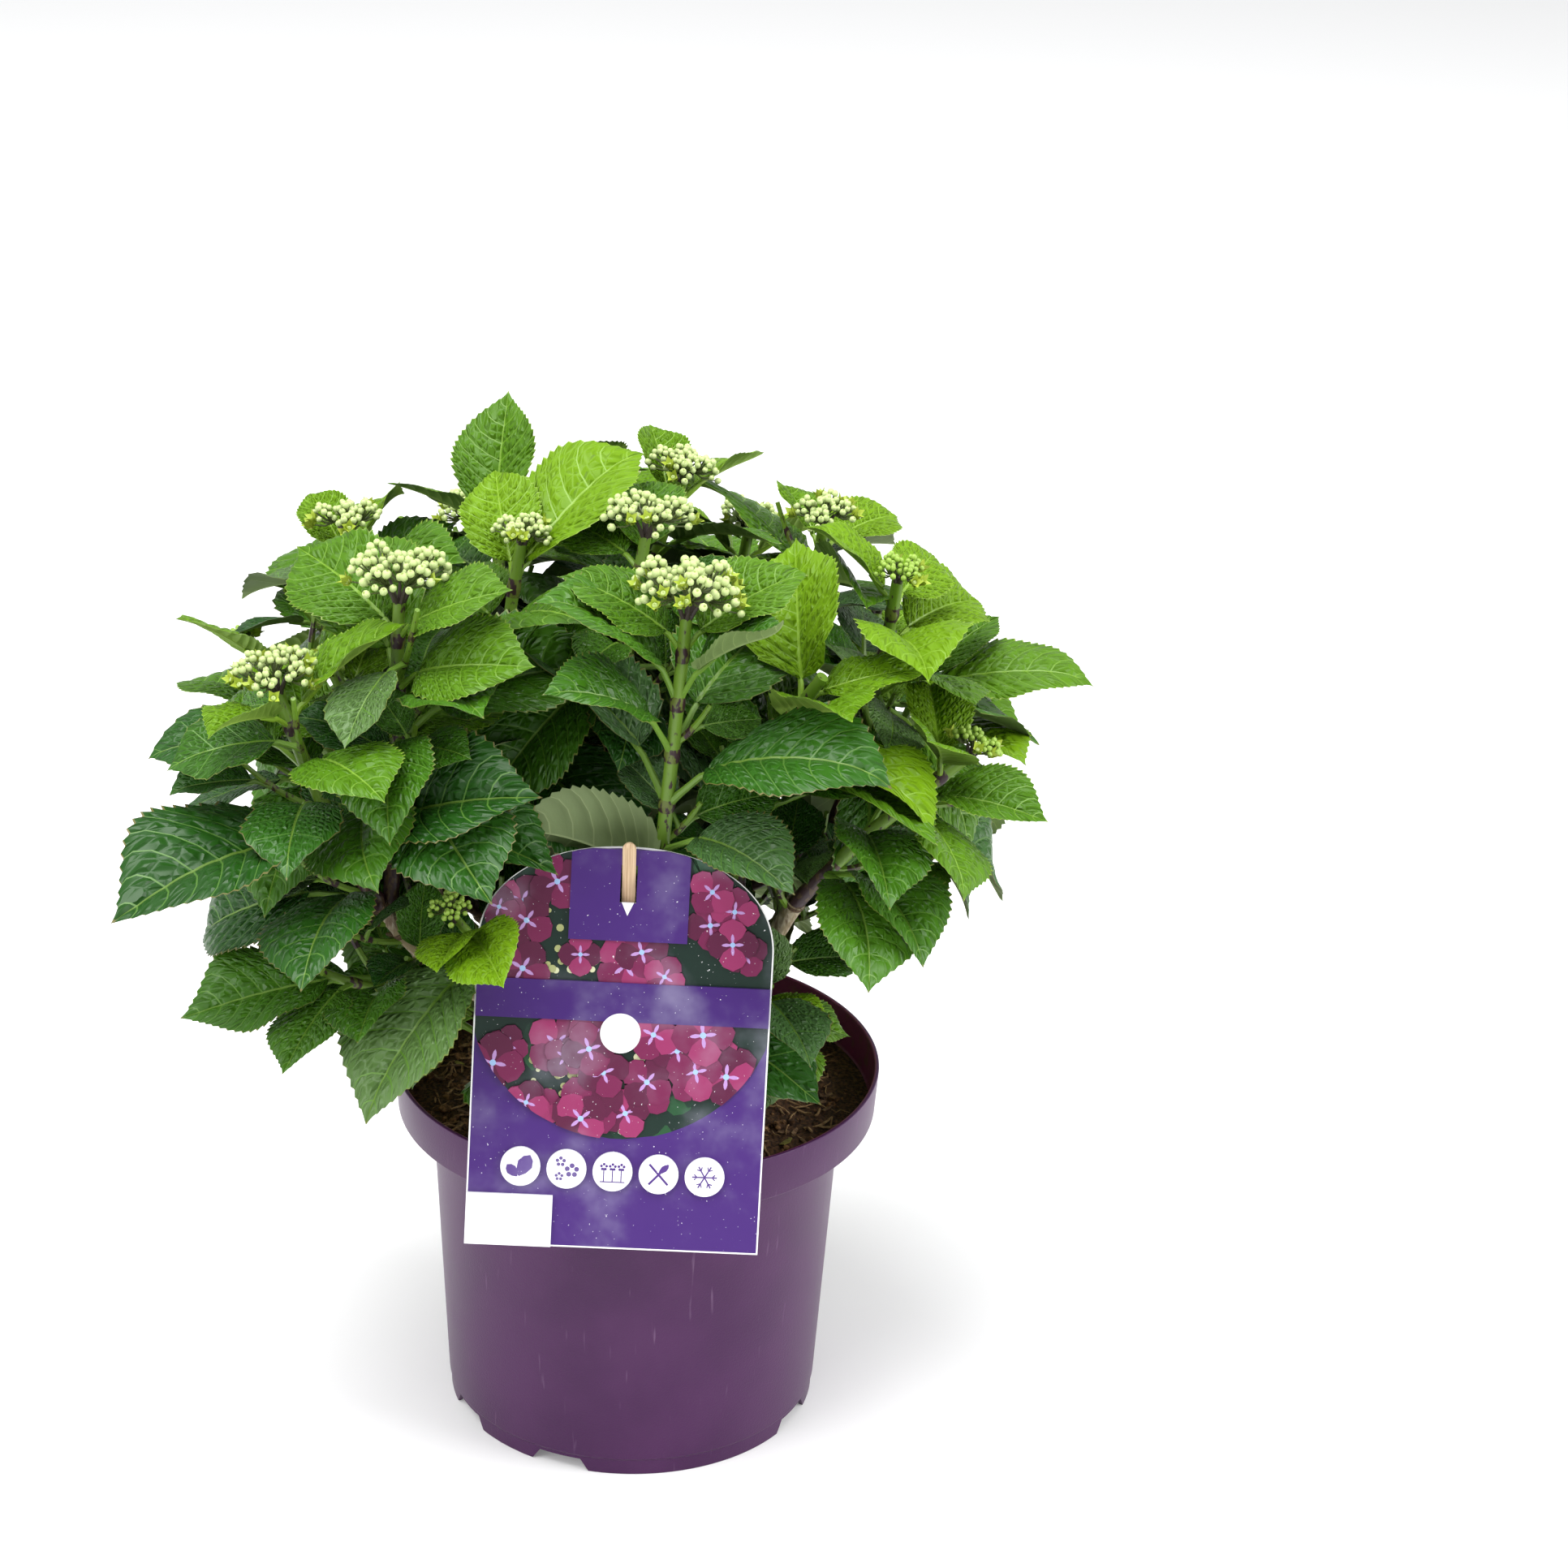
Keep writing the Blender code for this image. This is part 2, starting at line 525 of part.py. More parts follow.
def ring(centre, along, radius, sides):
    """Points round a centre, square to a direction that never lies along X."""
    across = Vector((1.0, 0.0, 0.0))
    across = (across - along * across.dot(along)).normalized()
    up = along.cross(across)
    points = []
    for i in range(sides):
        angle = math.tau * i / sides
        points.append(centre + radius * (math.cos(angle) * across + math.sin(angle) * up))
    return points


def slide_to_plane(points, along, on_plane, normal):
    """Moves the points along a direction until they lie on a plane."""
    return [p + along * ((on_plane - p).dot(normal) / along.dot(normal)) for p in points]


def node_count(cane):
    return max(round(cane.length / NODE_SPACING), 2)


def cane_ring(cane, t):
    """The cane's skin at a place: it swells at each old leaf node and draws in midway."""
    nodes = node_count(cane)
    from_node = 2 * abs(t * nodes - round(t * nodes))
    swell = NODE_SWELL + (1 - NODE_SWELL) * from_node
    return ring(cane.point(t), cane.along(t), cane.radius(t) * swell, CANE_SIDES)


def skin_reach(cane, t, half_width, normal):
    """How far the skin stands out from the cane's middle, over a short stretch."""
    skin = []
    for place in (t - half_width / cane.length, t, t + half_width / cane.length):
        skin += cane_ring(cane, place)
    return max((p - cane.point(t)).dot(normal) for p in skin)


def stem_from(parent, at, tip, low, top):
    """A stem that grows on from a cane or bough, at its tip or from its side, a gap clear of it."""
    point, along = parent.point(at), parent.along(at)
    toward = (tip - point).normalized()
    if at == 1.0:
        heading = toward.lerp(along, TIP_STEM_LEAN).normalized()
        normal = along
        reach = GAP
    else:
        normal = (toward - along * toward.dot(along)).normalized()
        heading = math.cos(SIDE_STEM_ANGLE) * along + math.sin(SIDE_STEM_ANGLE) * normal
        reach = skin_reach(parent, at, low, normal) + GAP
    start = point + heading * (reach / heading.dot(normal))
    guide = start + heading * (tip - start).length * GUIDE_REACH
    stem = Stem(start, guide, tip, low, top)
    stem.foot_plane = (point + normal * reach, normal)
    return stem


def cane_stem(cane):
    foot = Vector((*cane.foot, SOIL_LEVEL + GAP))
    tip = Vector(cane.tip)
    reach = tip - foot
    out = cane.spread * SPREAD_AT_GUIDE
    guide = foot + Vector((reach.x * out, reach.y * out, reach.z * GUIDE_HEIGHT))
    stem = Stem(foot, guide, tip, cane.radius, cane.radius * CANE_TAPER)
    stem.foot_plane = (foot, Vector((0.0, 0.0, 1.0)))
    return stem


def cane_mesh(stem, flared):
    """A ring at each node and midway between them, with a flare at the soil."""
    steps = 2 * node_count(stem)
    places = [i / steps for i in range(1, steps + 1)]
    foot = cane_ring(stem, 0.0)
    if flared:
        places.insert(0, FLARE_HEIGHT / stem.length)
        foot = ring(stem.start, stem.along(0.0), stem.low * ROOT_FLARE, CANE_SIDES)
    points = slide_to_plane(foot, stem.along(0.0), *stem.foot_plane)
    for t in places:
        points += cane_ring(stem, t)
    return points, loft_faces(len(places) + 1, CANE_SIDES)


def shoot_stem_mesh(stem):
    points = []
    for row in range(STEM_RINGS + 1):
        t = row / STEM_RINGS
        along = stem.along(t)
        circle = ring(stem.point(t), along, stem.radius(t), STEM_SIDES)
        if row == 0:
            circle = slide_to_plane(circle, along, *stem.foot_plane)
        points += circle
    return points, loft_faces(STEM_RINGS + 1, STEM_SIDES)


# ----------------------------------------------------------------------------------------- leaves
Leaf = namedtuple("Leaf", "root base heading across length bend")


def pair_places(shoot, stem):
    """How far along the stem each pair sits, from the tip down, as far as the stem reaches."""
    places = []
    down = 0.0
    for pair in PAIRS[: shoot.pairs]:
        down += pair.step
        if down > stem.length - LEAST_FOOT:
            break
        places.append(1 - down / stem.length)
    return places


def outward_from(point):
    """The level direction from the crown's axis to a point."""
    from_axis = point - CROWN_AXIS
    return Vector((from_axis.x, from_axis.y, 0.0)).normalized()


def rule_leaf(shoot, stem, pair, side, place):
    """Way out, lift and length of a leaf, as its pair's rule and the crown's outer droop have them."""
    rule = PAIRS[pair]
    along = stem.along(place)
    turn = math.radians(shoot.turn) + QUARTER * pair + math.pi * side
    east = Vector((1.0, 0.0, 0.0))
    east = (east - along * east.dot(along)).normalized()
    out = math.cos(turn) * east + math.sin(turn) * along.cross(east)
    level = Vector((out.x, out.y, 0.0)).normalized()
    lift = math.radians(rule.lift) - OUTWARD_DROOP * level.dot(outward_from(stem.point(place)))
    return (out + level).normalized(), lift, shoot.leaf * rule.size


def shape_leaf(shoot, stem, pair, side, draw, attempt):
    """The leaf of one side of a pair. Each further attempt may swing, tilt and shrink it a little more."""
    rule = PAIRS[pair]
    place = pair_places(shoot, stem)[pair]
    node = stem.point(place)
    given = TURNED.get((shoot.name, pair, side))
    swing, tilt = draw.uniform(-1, 1), draw.uniform(-1, 1)
    roll = draw.uniform(-1, 1) * ROLL_JITTER
    grown = 1 + draw.uniform(-1, 1) * SIZE_JITTER
    if given:
        turn = math.radians(given.turn)
        flat = Vector((math.cos(turn), math.sin(turn), 0.0))
        lift, length = math.radians(given.lift), given.length
        swing *= SWING_STEP * attempt
        tilt *= TILT_STEP * attempt
    else:
        flat, lift, length = rule_leaf(shoot, stem, pair, side, place)
        length *= grown
        swing *= SWING_JITTER + SWING_STEP * attempt
        tilt *= LIFT_JITTER + TILT_STEP * attempt
    flat = Matrix.Rotation(swing, 3, "Z") @ flat
    lift += tilt
    length *= 1 - SHRINK_STEP * attempt

    across = flat.cross(Vector((0.0, 0.0, 1.0))).normalized()
    heading = Matrix.Rotation(lift, 3, across) @ flat
    stalk = Matrix.Rotation(lift + STALK_LIFT, 3, across) @ flat
    base = node + stalk * (stem.radius(place) + rule.stalk * shoot.leaf / WHOLE_LEAF)
    roll += OUTWARD_ROLL * across.dot(outward_from(node))
    across = Matrix.Rotation(roll, 3, heading) @ across
    root = node - stalk * ROOT_SINK
    return Leaf(root, base, heading, across, length, math.radians(rule.bend))


def blade_frame(leaf, s):
    """Middle and upper side of the blade at a share of its length; the blade bends down in an arc."""
    angle = leaf.bend * s
    radius = leaf.length / leaf.bend
    normal = leaf.across.cross(leaf.heading)
    middle = leaf.base + radius * (math.sin(angle) * leaf.heading - (1 - math.cos(angle)) * normal)
    up = math.cos(angle) * normal + math.sin(angle) * leaf.heading
    return middle, up


def half_width(leaf, s):
    peak = OUTLINE_PEAK**OUTLINE_RISE * (1 - OUTLINE_PEAK) ** OUTLINE_FALL
    return leaf.length * LEAF_WIDTH / 2 * s**OUTLINE_RISE * (1 - s) ** OUTLINE_FALL / peak


def diamond(centre, across, up, wide, high):
    return [centre - across * wide, centre + up * high, centre + across * wide, centre - up * high]


def leaf_rings(leaf, margin):
    """Four-sided rings: two of the stalk, then left edge, top, right edge and underside of the blade."""
    up = leaf.across.cross(leaf.heading)
    rings = [
        diamond(leaf.root, leaf.across, up, STALK_RADIUS_ROOT + margin, STALK_RADIUS_ROOT + margin),
        diamond(leaf.base, leaf.across, up, STALK_RADIUS_BLADE + margin, STALK_RADIUS_BLADE + margin),
    ]
    thick = leaf.length * LEAF_THICKNESS / 2 + margin
    for s in LEAF_STATIONS:
        middle, up = blade_frame(leaf, s)
        wide = half_width(leaf, s) + margin
        edge = up * (wide * math.sin(LEAF_FOLD))
        side = leaf.across * (wide * math.cos(LEAF_FOLD))
        thin = thick * (1 - s * s)
        rings.append([middle - side + edge, middle + up * thin, middle + side + edge, middle - up * thin])
    return rings


def leaf_mesh(leaf, margin=0.0, blade_only=False):
    rings = leaf_rings(leaf, margin)
    if blade_only:
        rings = rings[1:]
    tip, _ = blade_frame(leaf, 1.0)
    points = [p for one in rings for p in one] + [tip]
    return points, tip_faces(len(rings), 4)


def head_mesh(shoot, stem):
    """A flat-topped, lobed head of buds on rays that spread from the stem's top."""
    axis = (stem.along(1.0) + Vector((0.0, 0.0, 1.0))).normalized()
    across = Vector((1.0, 0.0, 0.0))
    across = (across - axis * across.dot(axis)).normalized()
    up = axis.cross(across)
    base = stem.end - axis * HEAD_SINK
    depth = shoot.bloom * HEAD_DEPTH
    sides = 2 * HEAD_LOBES
    points = []
    for share, height in HEAD_PROFILE:
        for i in range(sides):
            lobe = 1.0 if i % 2 else HEAD_VALLEY
            angle = math.tau * i / sides + math.radians(shoot.turn)
            wide = shoot.bloom * share * lobe
            lateral = wide * (math.cos(angle) * across + math.sin(angle) * up)
            points.append(base + lateral + axis * (depth * height + HEAD_SINK * (height > 0)))
    points.append(base + axis * (depth * HEAD_DOME + HEAD_SINK))
    return points, tip_faces(len(HEAD_PROFILE), sides)


# ---------------------------------------------------------------------------------------- growing
class Skin:
    """A closed skin for telling whether two things touch."""

    def __init__(self, points, faces):
        self.tree = BVHTree.FromPolygons(points, faces)
        self.low = [min(p[i] for p in points) for i in range(3)]
        self.high = [max(p[i] for p in points) for i in range(3)]

    def touches(self, other):
        for i in range(3):
            if self.low[i] > other.high[i] or other.low[i] > self.high[i]:
                return False
        return bool(self.tree.overlap(other.tree))


class Placed:
    """All that already has its place. A leaf may meet its own stem only with its stalk."""

    def __init__(self):
        self.solids = []
        self.leaves = []

    def add_solid(self, owner, points, faces):
        self.solids.append((owner, Skin(points, faces)))

    def add_object(self, made):
        points = [made.matrix_world @ v.co for v in made.data.vertices]
        self.add_solid(made.name, points, [list(p.vertices) for p in made.data.polygons])

    def add_leaf(self, owner, leaf):
        self.leaves.append((owner, Skin(*leaf_mesh(leaf)), Skin(*leaf_mesh(leaf, blade_only=True))))

    def free(self, owner, leaf):
        whole = Skin(*leaf_mesh(leaf, CLEARANCE))
        blade = Skin(*leaf_mesh(leaf, CLEARANCE, blade_only=True))
        for other, skin in self.solids:
            if (blade if other == owner else whole).touches(skin):
                return False
        for other, other_whole, other_blade in self.leaves:
            if other != owner and whole.touches(other_whole):
                return False
            if other == owner and (blade.touches(other_whole) or whole.touches(other_blade)):
                return False
        return True


def leaf_order(green):
    """Every shoot, pair and side that can have a leaf: the turned ones first, then pair by pair."""
    order = []
    for pair in PAIR_ORDER:
        for shoot in SHOOTS:
            if pair < len(pair_places(shoot, green[shoot.name])):
                order += [(shoot, pair, side) for side in (0, 1)]
    return sorted(order, key=lambda row: (row[0].name, row[1], row[2]) not in TURNED)


def grow(placed):
    """Works out every cane, shoot stem and leaf, pair by pair over the whole plant."""
    woody = {cane.name: cane_stem(cane) for cane in CANES}
    for bough in BOUGHS:
        taper = bough.radius * CANE_TAPER
        woody[bough.name] = stem_from(woody[bough.cane], bough.at, Vector(bough.tip), bough.radius, taper)
    green = {}
    for shoot in SHOOTS:
        parent = woody[shoot.cane]
        low = min(STEM_RADIUS_LOW, parent.radius(shoot.at))
        green[shoot.name] = stem_from(parent, shoot.at, Vector(shoot.tip), low, STEM_RADIUS_TOP)

    rooted = {cane.name for cane in CANES}
    for name, stem in woody.items():
        placed.add_solid(name, *cane_mesh(stem, name in rooted))
    for shoot in SHOOTS:
        placed.add_solid(shoot.name, *shoot_stem_mesh(green[shoot.name]))
        if shoot.bloom:
            placed.add_solid(shoot.name, *head_mesh(shoot, green[shoot.name]))
    leaves = {shoot.name: [] for shoot in SHOOTS}
    for shoot, pair, side in leaf_order(green):
        draw = random.Random(f"{shoot.name} {pair} {side}")
        for attempt in range(TRIES):
            leaf = shape_leaf(shoot, green[shoot.name], pair, side, draw, attempt)
            if placed.free(shoot.name, leaf):
                placed.add_leaf(shoot.name, leaf)
                leaves[shoot.name].append(leaf)
                break
    return woody, green, leaves


def make_canes(woody):
    rooted = {cane.name for cane in CANES}
    for name, stem in woody.items():
        cane = new_object(name, *cane_mesh(stem, name in rooted))
        finish(cane, (0.23, 0.16, 0.10), 0.85)


def make_shoots(green, leaves):
    for shoot in SHOOTS:
        stem = green[shoot.name]
        made = new_object(shoot.name, *shoot_stem_mesh(stem))
        pieces = [new_object(f"{shoot.name}_leaf", *leaf_mesh(leaf)) for leaf in leaves[shoot.name]]
        if shoot.bloom:
            pieces.append(new_object(f"{shoot.name}_head", *head_mesh(shoot, stem)))
        fuse(made, pieces)
        finish(made, (0.05, 0.16, 0.03), 0.5)


def main():
    clear_scene()
    placed = Placed()
    for made in (make_pot(), make_soil(), make_tag(), make_stick()):
        placed.add_object(made)
    woody, green, leaves = grow(placed)
    make_canes(woody)
    make_shoots(green, leaves)


main()
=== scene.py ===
"""The looks of the potted hydrangea in bud: fine leaves, buds, bark, peat, pot, card and stick.

Metres, +Z up, and the pot stands on Z 0 with the front of the plant at -Y. The plant grows here by the
same rule as its solids, from the same named sizes, so that each leaf is dressed where it stands.
"""

import math
import random
from collections import namedtuple

import bmesh
import bpy
import numpy as np
from mathutils import Matrix, Vector, noise
from mathutils.bvhtree import BVHTree


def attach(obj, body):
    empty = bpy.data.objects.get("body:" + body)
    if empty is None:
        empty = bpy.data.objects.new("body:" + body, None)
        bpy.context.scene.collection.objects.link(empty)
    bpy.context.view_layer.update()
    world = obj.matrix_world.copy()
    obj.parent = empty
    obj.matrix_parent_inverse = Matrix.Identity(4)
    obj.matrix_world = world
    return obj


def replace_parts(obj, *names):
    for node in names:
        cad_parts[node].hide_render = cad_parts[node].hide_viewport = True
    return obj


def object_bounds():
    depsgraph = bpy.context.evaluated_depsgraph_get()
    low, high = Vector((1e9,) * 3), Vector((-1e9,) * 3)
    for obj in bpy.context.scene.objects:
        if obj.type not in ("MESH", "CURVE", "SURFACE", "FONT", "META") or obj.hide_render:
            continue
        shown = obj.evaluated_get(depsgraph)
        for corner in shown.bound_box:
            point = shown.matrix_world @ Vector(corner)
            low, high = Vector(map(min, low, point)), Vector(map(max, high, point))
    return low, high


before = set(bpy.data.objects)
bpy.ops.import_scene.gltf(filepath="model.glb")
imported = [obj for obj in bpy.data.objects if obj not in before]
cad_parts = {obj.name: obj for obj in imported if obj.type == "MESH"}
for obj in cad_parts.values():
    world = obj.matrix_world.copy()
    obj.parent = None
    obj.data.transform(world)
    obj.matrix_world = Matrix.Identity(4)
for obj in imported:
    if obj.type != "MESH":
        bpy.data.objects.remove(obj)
CAD_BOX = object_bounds()

# -------------------- pot, soil and tag
RIM_RADIUS = 0.095
POT_HEIGHT = 0.146
BAND_HEIGHT = 0.0185
BAND_TAPER = 0.0012
SHOULDER_RADIUS = 0.0805
FOOT_RADIUS = 0.0733
FOOT_HEIGHT = 0.0065
FOOT_STEP = 0.0008
POT_WALL = 0.0018
FLOOR_HEIGHT = 0.008
PAD_RADIUS = 0.034
PAD_SLOPE = 0.005
POT_SIDES = 180
NOTCH_TURNS = [math.radians(a) for a in (-112, -28, 26, 88, 150, 208)]
NOTCH_WIDTH_LOW, NOTCH_WIDTH_HIGH, NOTCH_HEIGHT = 0.024, 0.017, 0.0052
NOTCH_REACH = 0.01
CUT_PAST = 0.004
GAP = 0.0003

SOIL_LEVEL = POT_HEIGHT - 0.016

TAG_WIDTH, TAG_HEIGHT, TAG_THICKNESS = 0.108, 0.150, 0.0008
TAG_ARCH, TAG_ARCH_POWER = 0.038, 2.15
TAG_LEAN, TAG_ROLL = math.radians(15), math.radians(1.65)
TAG_MIDDLE_X, TAG_FOOT_Z, TAG_STAND_OFF = -0.0085, 0.1195, 0.0004
SLOT_WIDTH, SLOT_LENGTH, SLOT_DROP = 0.0060, 0.0140, 0.0135
STICK_WIDTH, STICK_THICKNESS, STICK_ABOVE_TAG = 0.0050, 0.0016, 0.0032

# -------------------- canes, boughs, shoots
LENGTH_STEPS = 16
CANE_SIDES = 6
CANE_TAPER = 0.76
NODE_SPACING = 0.024
NODE_SWELL = 1.18
ROOT_FLARE = 1.4
FLARE_HEIGHT = 0.006
TIP_STEM_LEAN = 0.5
SIDE_STEM_ANGLE = math.radians(52)
GUIDE_REACH = 0.42
GUIDE_HEIGHT = 0.5
SPREAD_AT_GUIDE = 0.7

# A cane rises from its foot on the soil; spread is how early it leans out.
Cane = namedtuple("Cane", "name foot tip radius spread")
CANES = [
    Cane("cane_left", (-0.022, -0.014), (-0.081, -0.050, 0.2145), 0.0050, 0.45),
    Cane("cane_back_left", (-0.022, 0.014), (-0.082, 0.026, 0.2180), 0.0045, 0.40),
    Cane("cane_centre_front", (-0.002, -0.024), (0.004, -0.046, 0.2180), 0.0044, 0.50),
    Cane("cane_centre", (0.002, 0.000), (-0.010, 0.003, 0.2220), 0.0046, 0.50),
    Cane("cane_centre_back", (-0.004, 0.026), (-0.016, 0.054, 0.2250), 0.0043, 0.50),
    Cane("cane_right_front", (0.024, -0.012), (0.058, -0.036, 0.2300), 0.0044, 0.45),
    Cane("cane_right", (0.030, 0.010), (0.070, 0.022, 0.2250), 0.0043, 0.45),
    Cane("cane_right_back", (0.018, 0.030), (0.048, 0.062, 0.2200), 0.0043, 0.45),
    Cane("cane_back", (-0.014, 0.040), (-0.042, 0.094, 0.2080), 0.0042, 0.45),
    Cane("cane_back_right", (0.008, 0.042), (0.022, 0.100, 0.2100), 0.0042, 0.45),
]
# A bough grows on from a place along a cane, 1 at its tip.
Bough = namedtuple("Bough", "name cane at tip radius")
BOUGHS = [
    Bough("bough_left_front", "cane_left", 1.0, (-0.0960, -0.053, 0.2330), 0.0037),
    Bough("bough_left_middle", "cane_left", 0.86, (-0.0815, -0.040, 0.2450), 0.0034),
]
# The tip is the top of the stem, the turn is that of the highest pair in degrees, the leaf is the
# length of the longest blade and the bloom is the width of the bud head, 0 for a leafy tip.
Shoot = namedtuple("Shoot", "name cane at tip pairs turn leaf bloom")
SHOOTS = [
    Shoot("shoot_centre", "cane_centre_front", 1.0, (0.014, -0.056, 0.350), 5, 10, 0.080, 0.046),
    Shoot("shoot_left_middle", "bough_left_middle", 1.0, (-0.0890, -0.036, 0.346), 5, 20, 0.074, 0.042),
    Shoot("shoot_left_front", "bough_left_front", 1.0, (-0.1310, -0.056, 0.318), 5, 15, 0.082, 0.034),
    Shoot("shoot_left_inner", "bough_left_front", 0.8, (-0.1140, -0.028, 0.316), 4, 60, 0.062, 0.022),
    Shoot("shoot_left_back", "cane_back_left", 1.0, (-0.1140, 0.036, 0.347), 5, 30, 0.072, 0.026),
    Shoot("shoot_left_edge", "cane_back_left", 0.75, (-0.1520, 0.018, 0.309), 4, 80, 0.066, 0.012),
    Shoot("shoot_upper_left", "cane_centre", 0.72, (-0.0470, 0.008, 0.354), 5, 20, 0.072, 0.024),
    Shoot("shoot_upper", "cane_centre", 1.0, (-0.0010, 0.000, 0.361), 5, 70, 0.072, 0.036),
    Shoot("shoot_upper_back", "cane_centre_back", 1.0, (0.0125, 0.062, 0.362), 5, 25, 0.072, 0.028),
    Shoot("shoot_top", "cane_centre_back", 0.75, (-0.0590, 0.066, 0.351), 5, 80, 0.076, 0.0),
    Shoot("shoot_right_back", "cane_right_back", 1.0, (0.0670, 0.050, 0.350), 5, 50, 0.070, 0.026),
    Shoot("shoot_right_middle", "cane_right", 1.0, (0.0930, 0.004, 0.344), 5, 10, 0.072, 0.020),
    Shoot("shoot_right_small", "cane_right", 0.72, (0.1100, 0.040, 0.300), 3, 35, 0.066, 0.012),
    Shoot("shoot_right_front", "cane_right_front", 1.0, (0.1210, -0.026, 0.287), 4, 85, 0.070, 0.020),
    Shoot("shoot_front_right", "cane_right_front", 0.7, (0.0640, -0.044, 0.324), 5, 40, 0.074, 0.0),
    Shoot("shoot_low_left", "cane_left", 0.66, (-0.0675, -0.080, 0.243), 3, 80, 0.056, 0.016),
    Shoot("shoot_skirt_left", "cane_left", 0.80, (-0.1160, -0.067, 0.213), 2, 20, 0.070, 0.0),
    Shoot("shoot_low_right", "cane_right", 0.22, (0.0480, -0.016, 0.185), 2, 60, 0.044, 0.0),
    Shoot("shoot_back_left", "cane_back", 1.0, (-0.0700, 0.112, 0.325), 4, 35, 0.074, 0.030),
    Shoot("shoot_back", "cane_back", 0.75, (-0.0200, 0.116, 0.342), 4, 75, 0.074, 0.034),
    Shoot("shoot_back_right", "cane_back_right", 1.0, (0.0400, 0.112, 0.324), 4, 15, 0.072, 0.030),
    Shoot("shoot_far_right", "cane_right_back", 0.72, (0.0920, 0.088, 0.300), 4, 65, 0.062, 0.024),
    Shoot("shoot_far_left", "cane_back_left", 0.55, (-0.1180, 0.086, 0.285), 4, 20, 0.072, 0.022),
    Shoot("shoot_low_back", "cane_back", 0.55, (-0.0600, 0.140, 0.255), 3, 50, 0.068, 0.0),
    Shoot("shoot_low_back_right", "cane_back_right", 0.62, (0.0600, 0.136, 0.262), 3, 10, 0.068, 0.0),
    Shoot("shoot_skirt_back", "cane_back", 0.30, (-0.0060, 0.128, 0.222), 3, 40, 0.074, 0.0),
    Shoot("shoot_skirt_right", "cane_right_back", 0.45, (0.0980, 0.066, 0.236), 2, 20, 0.062, 0.0),
    Shoot("shoot_skirt_far_left", "cane_back_left", 0.35, (-0.0960, 0.070, 0.228), 3, 70, 0.066, 0.0),
]

STEM_RADIUS_LOW, STEM_RADIUS_TOP = 0.0026, 0.0019
STEM_SIDES = 5
STEM_RINGS = 6
# By pair, highest first: step down the stem, blade length, lift of the blade's foot, bend, length of stalk.
Pair = namedtuple("Pair", "step size lift bend stalk")
PAIRS = [
    Pair(0.012, 0.58, 40, 24, 0.008),
    Pair(0.017, 0.88, 26, 34, 0.014),
    Pair(0.019, 1.00, 8, 42, 0.018),
    Pair(0.020, 1.00, -4, 46, 0.020),
    Pair(0.020, 0.92, -14, 48, 0.020),
    Pair(0.020, 0.84, -20, 48, 0.018),
]
PAIR_ORDER = (1, 2, 0, 3, 4, 5)

# Leaves that light and their own weight have turned out of the rule's way: pair and side, then the way
# they point, in degrees from +X, the lift of the blade's foot and the blade's length.
Turned = namedtuple("Turned", "turn lift length")
TURNED_BY_SHOOT = {
    "shoot_centre": [
        (1, 0, -165, 50, 0.055), (1, 1, -30, 45, 0.042), (2, 0, -135, 40, 0.048), (2, 1, 55, 30, 0.066),
        (3, 0, 135, 35, 0.070), (3, 1, -30, 30, 0.074), (4, 0, -130, 50, 0.060), (4, 1, -50, 15, 0.050),
    ],
    "shoot_front_right": [
        (0, 0, 95, 55, 0.058), (0, 1, -20, 45, 0.056), (1, 0, -45, 35, 0.055), (2, 0, -40, 15, 0.072),
        (3, 0, -15, 20, 0.060),
    ],
    "shoot_left_front": [
        (0, 1, -125, 20, 0.036), (1, 0, 140, 5, 0.052), (1, 1, -65, 20, 0.052), (2, 0, 120, 15, 0.055),
        (3, 0, -140, 15, 0.082), (3, 1, -40, 35, 0.068), (4, 0, -110, 10, 0.058),
    ],
    "shoot_left_middle": [(0, 0, 135, 25, 0.054), (0, 1, -35, 35, 0.046), (1, 1, -45, 25, 0.052)],
    "shoot_left_edge": [(0, 0, -150, 50, 0.044), (1, 0, 160, 20, 0.054)],
    "shoot_left_back": [(0, 0, 130, 40, 0.030), (0, 1, 70, 30, 0.040)],
    "shoot_upper_left": [(0, 0, 40, 45, 0.068), (0, 1, 112, 60, 0.044)],
    "shoot_top": [(0, 0, 170, 25, 0.044), (0, 1, 95, 60, 0.056)],
    "shoot_upper": [(0, 0, 135, 25, 0.046), (0, 1, 90, 25, 0.046)],
    "shoot_upper_back": [(0, 0, 105, 45, 0.034), (0, 1, 40, 25, 0.042)],
    "shoot_right_back": [(0, 0, 110, 30, 0.034), (0, 1, 45, 15, 0.038)],
    "shoot_right_middle": [(0, 0, 60, 20, 0.036), (1, 0, 45, 15, 0.046), (2, 0, -50, 25, 0.050)],
    "shoot_right_small": [(0, 0, -10, 20, 0.064), (0, 1, 40, 35, 0.042)],
    "shoot_right_front": [
        (1, 0, -30, 15, 0.046), (1, 1, -65, 0, 0.050), (2, 0, -85, 15, 0.052), (3, 0, -55, 5, 0.054),
        (3, 1, -70, 0, 0.058),
    ],
    "shoot_low_left": [(0, 0, -75, 10, 0.042), (1, 0, -130, -20, 0.068), (2, 0, -100, 20, 0.042)],
    "shoot_low_right": [(0, 0, -55, 25, 0.036), (1, 0, -65, 0, 0.044)],
    "shoot_skirt_left": [(0, 0, -165, 0, 0.058), (0, 1, -125, -10, 0.048), (1, 1, -95, 10, 0.045)],
}
TURNED = {
    (shoot, pair, side): Turned(*look)
    for shoot, rows in TURNED_BY_SHOOT.items()
    for pair, side, *look in rows
}
LEAST_FOOT = 0.003
QUARTER = math.pi / 2
SWING_JITTER = math.radians(14)
LIFT_JITTER = math.radians(8)
ROLL_JITTER = math.radians(16)
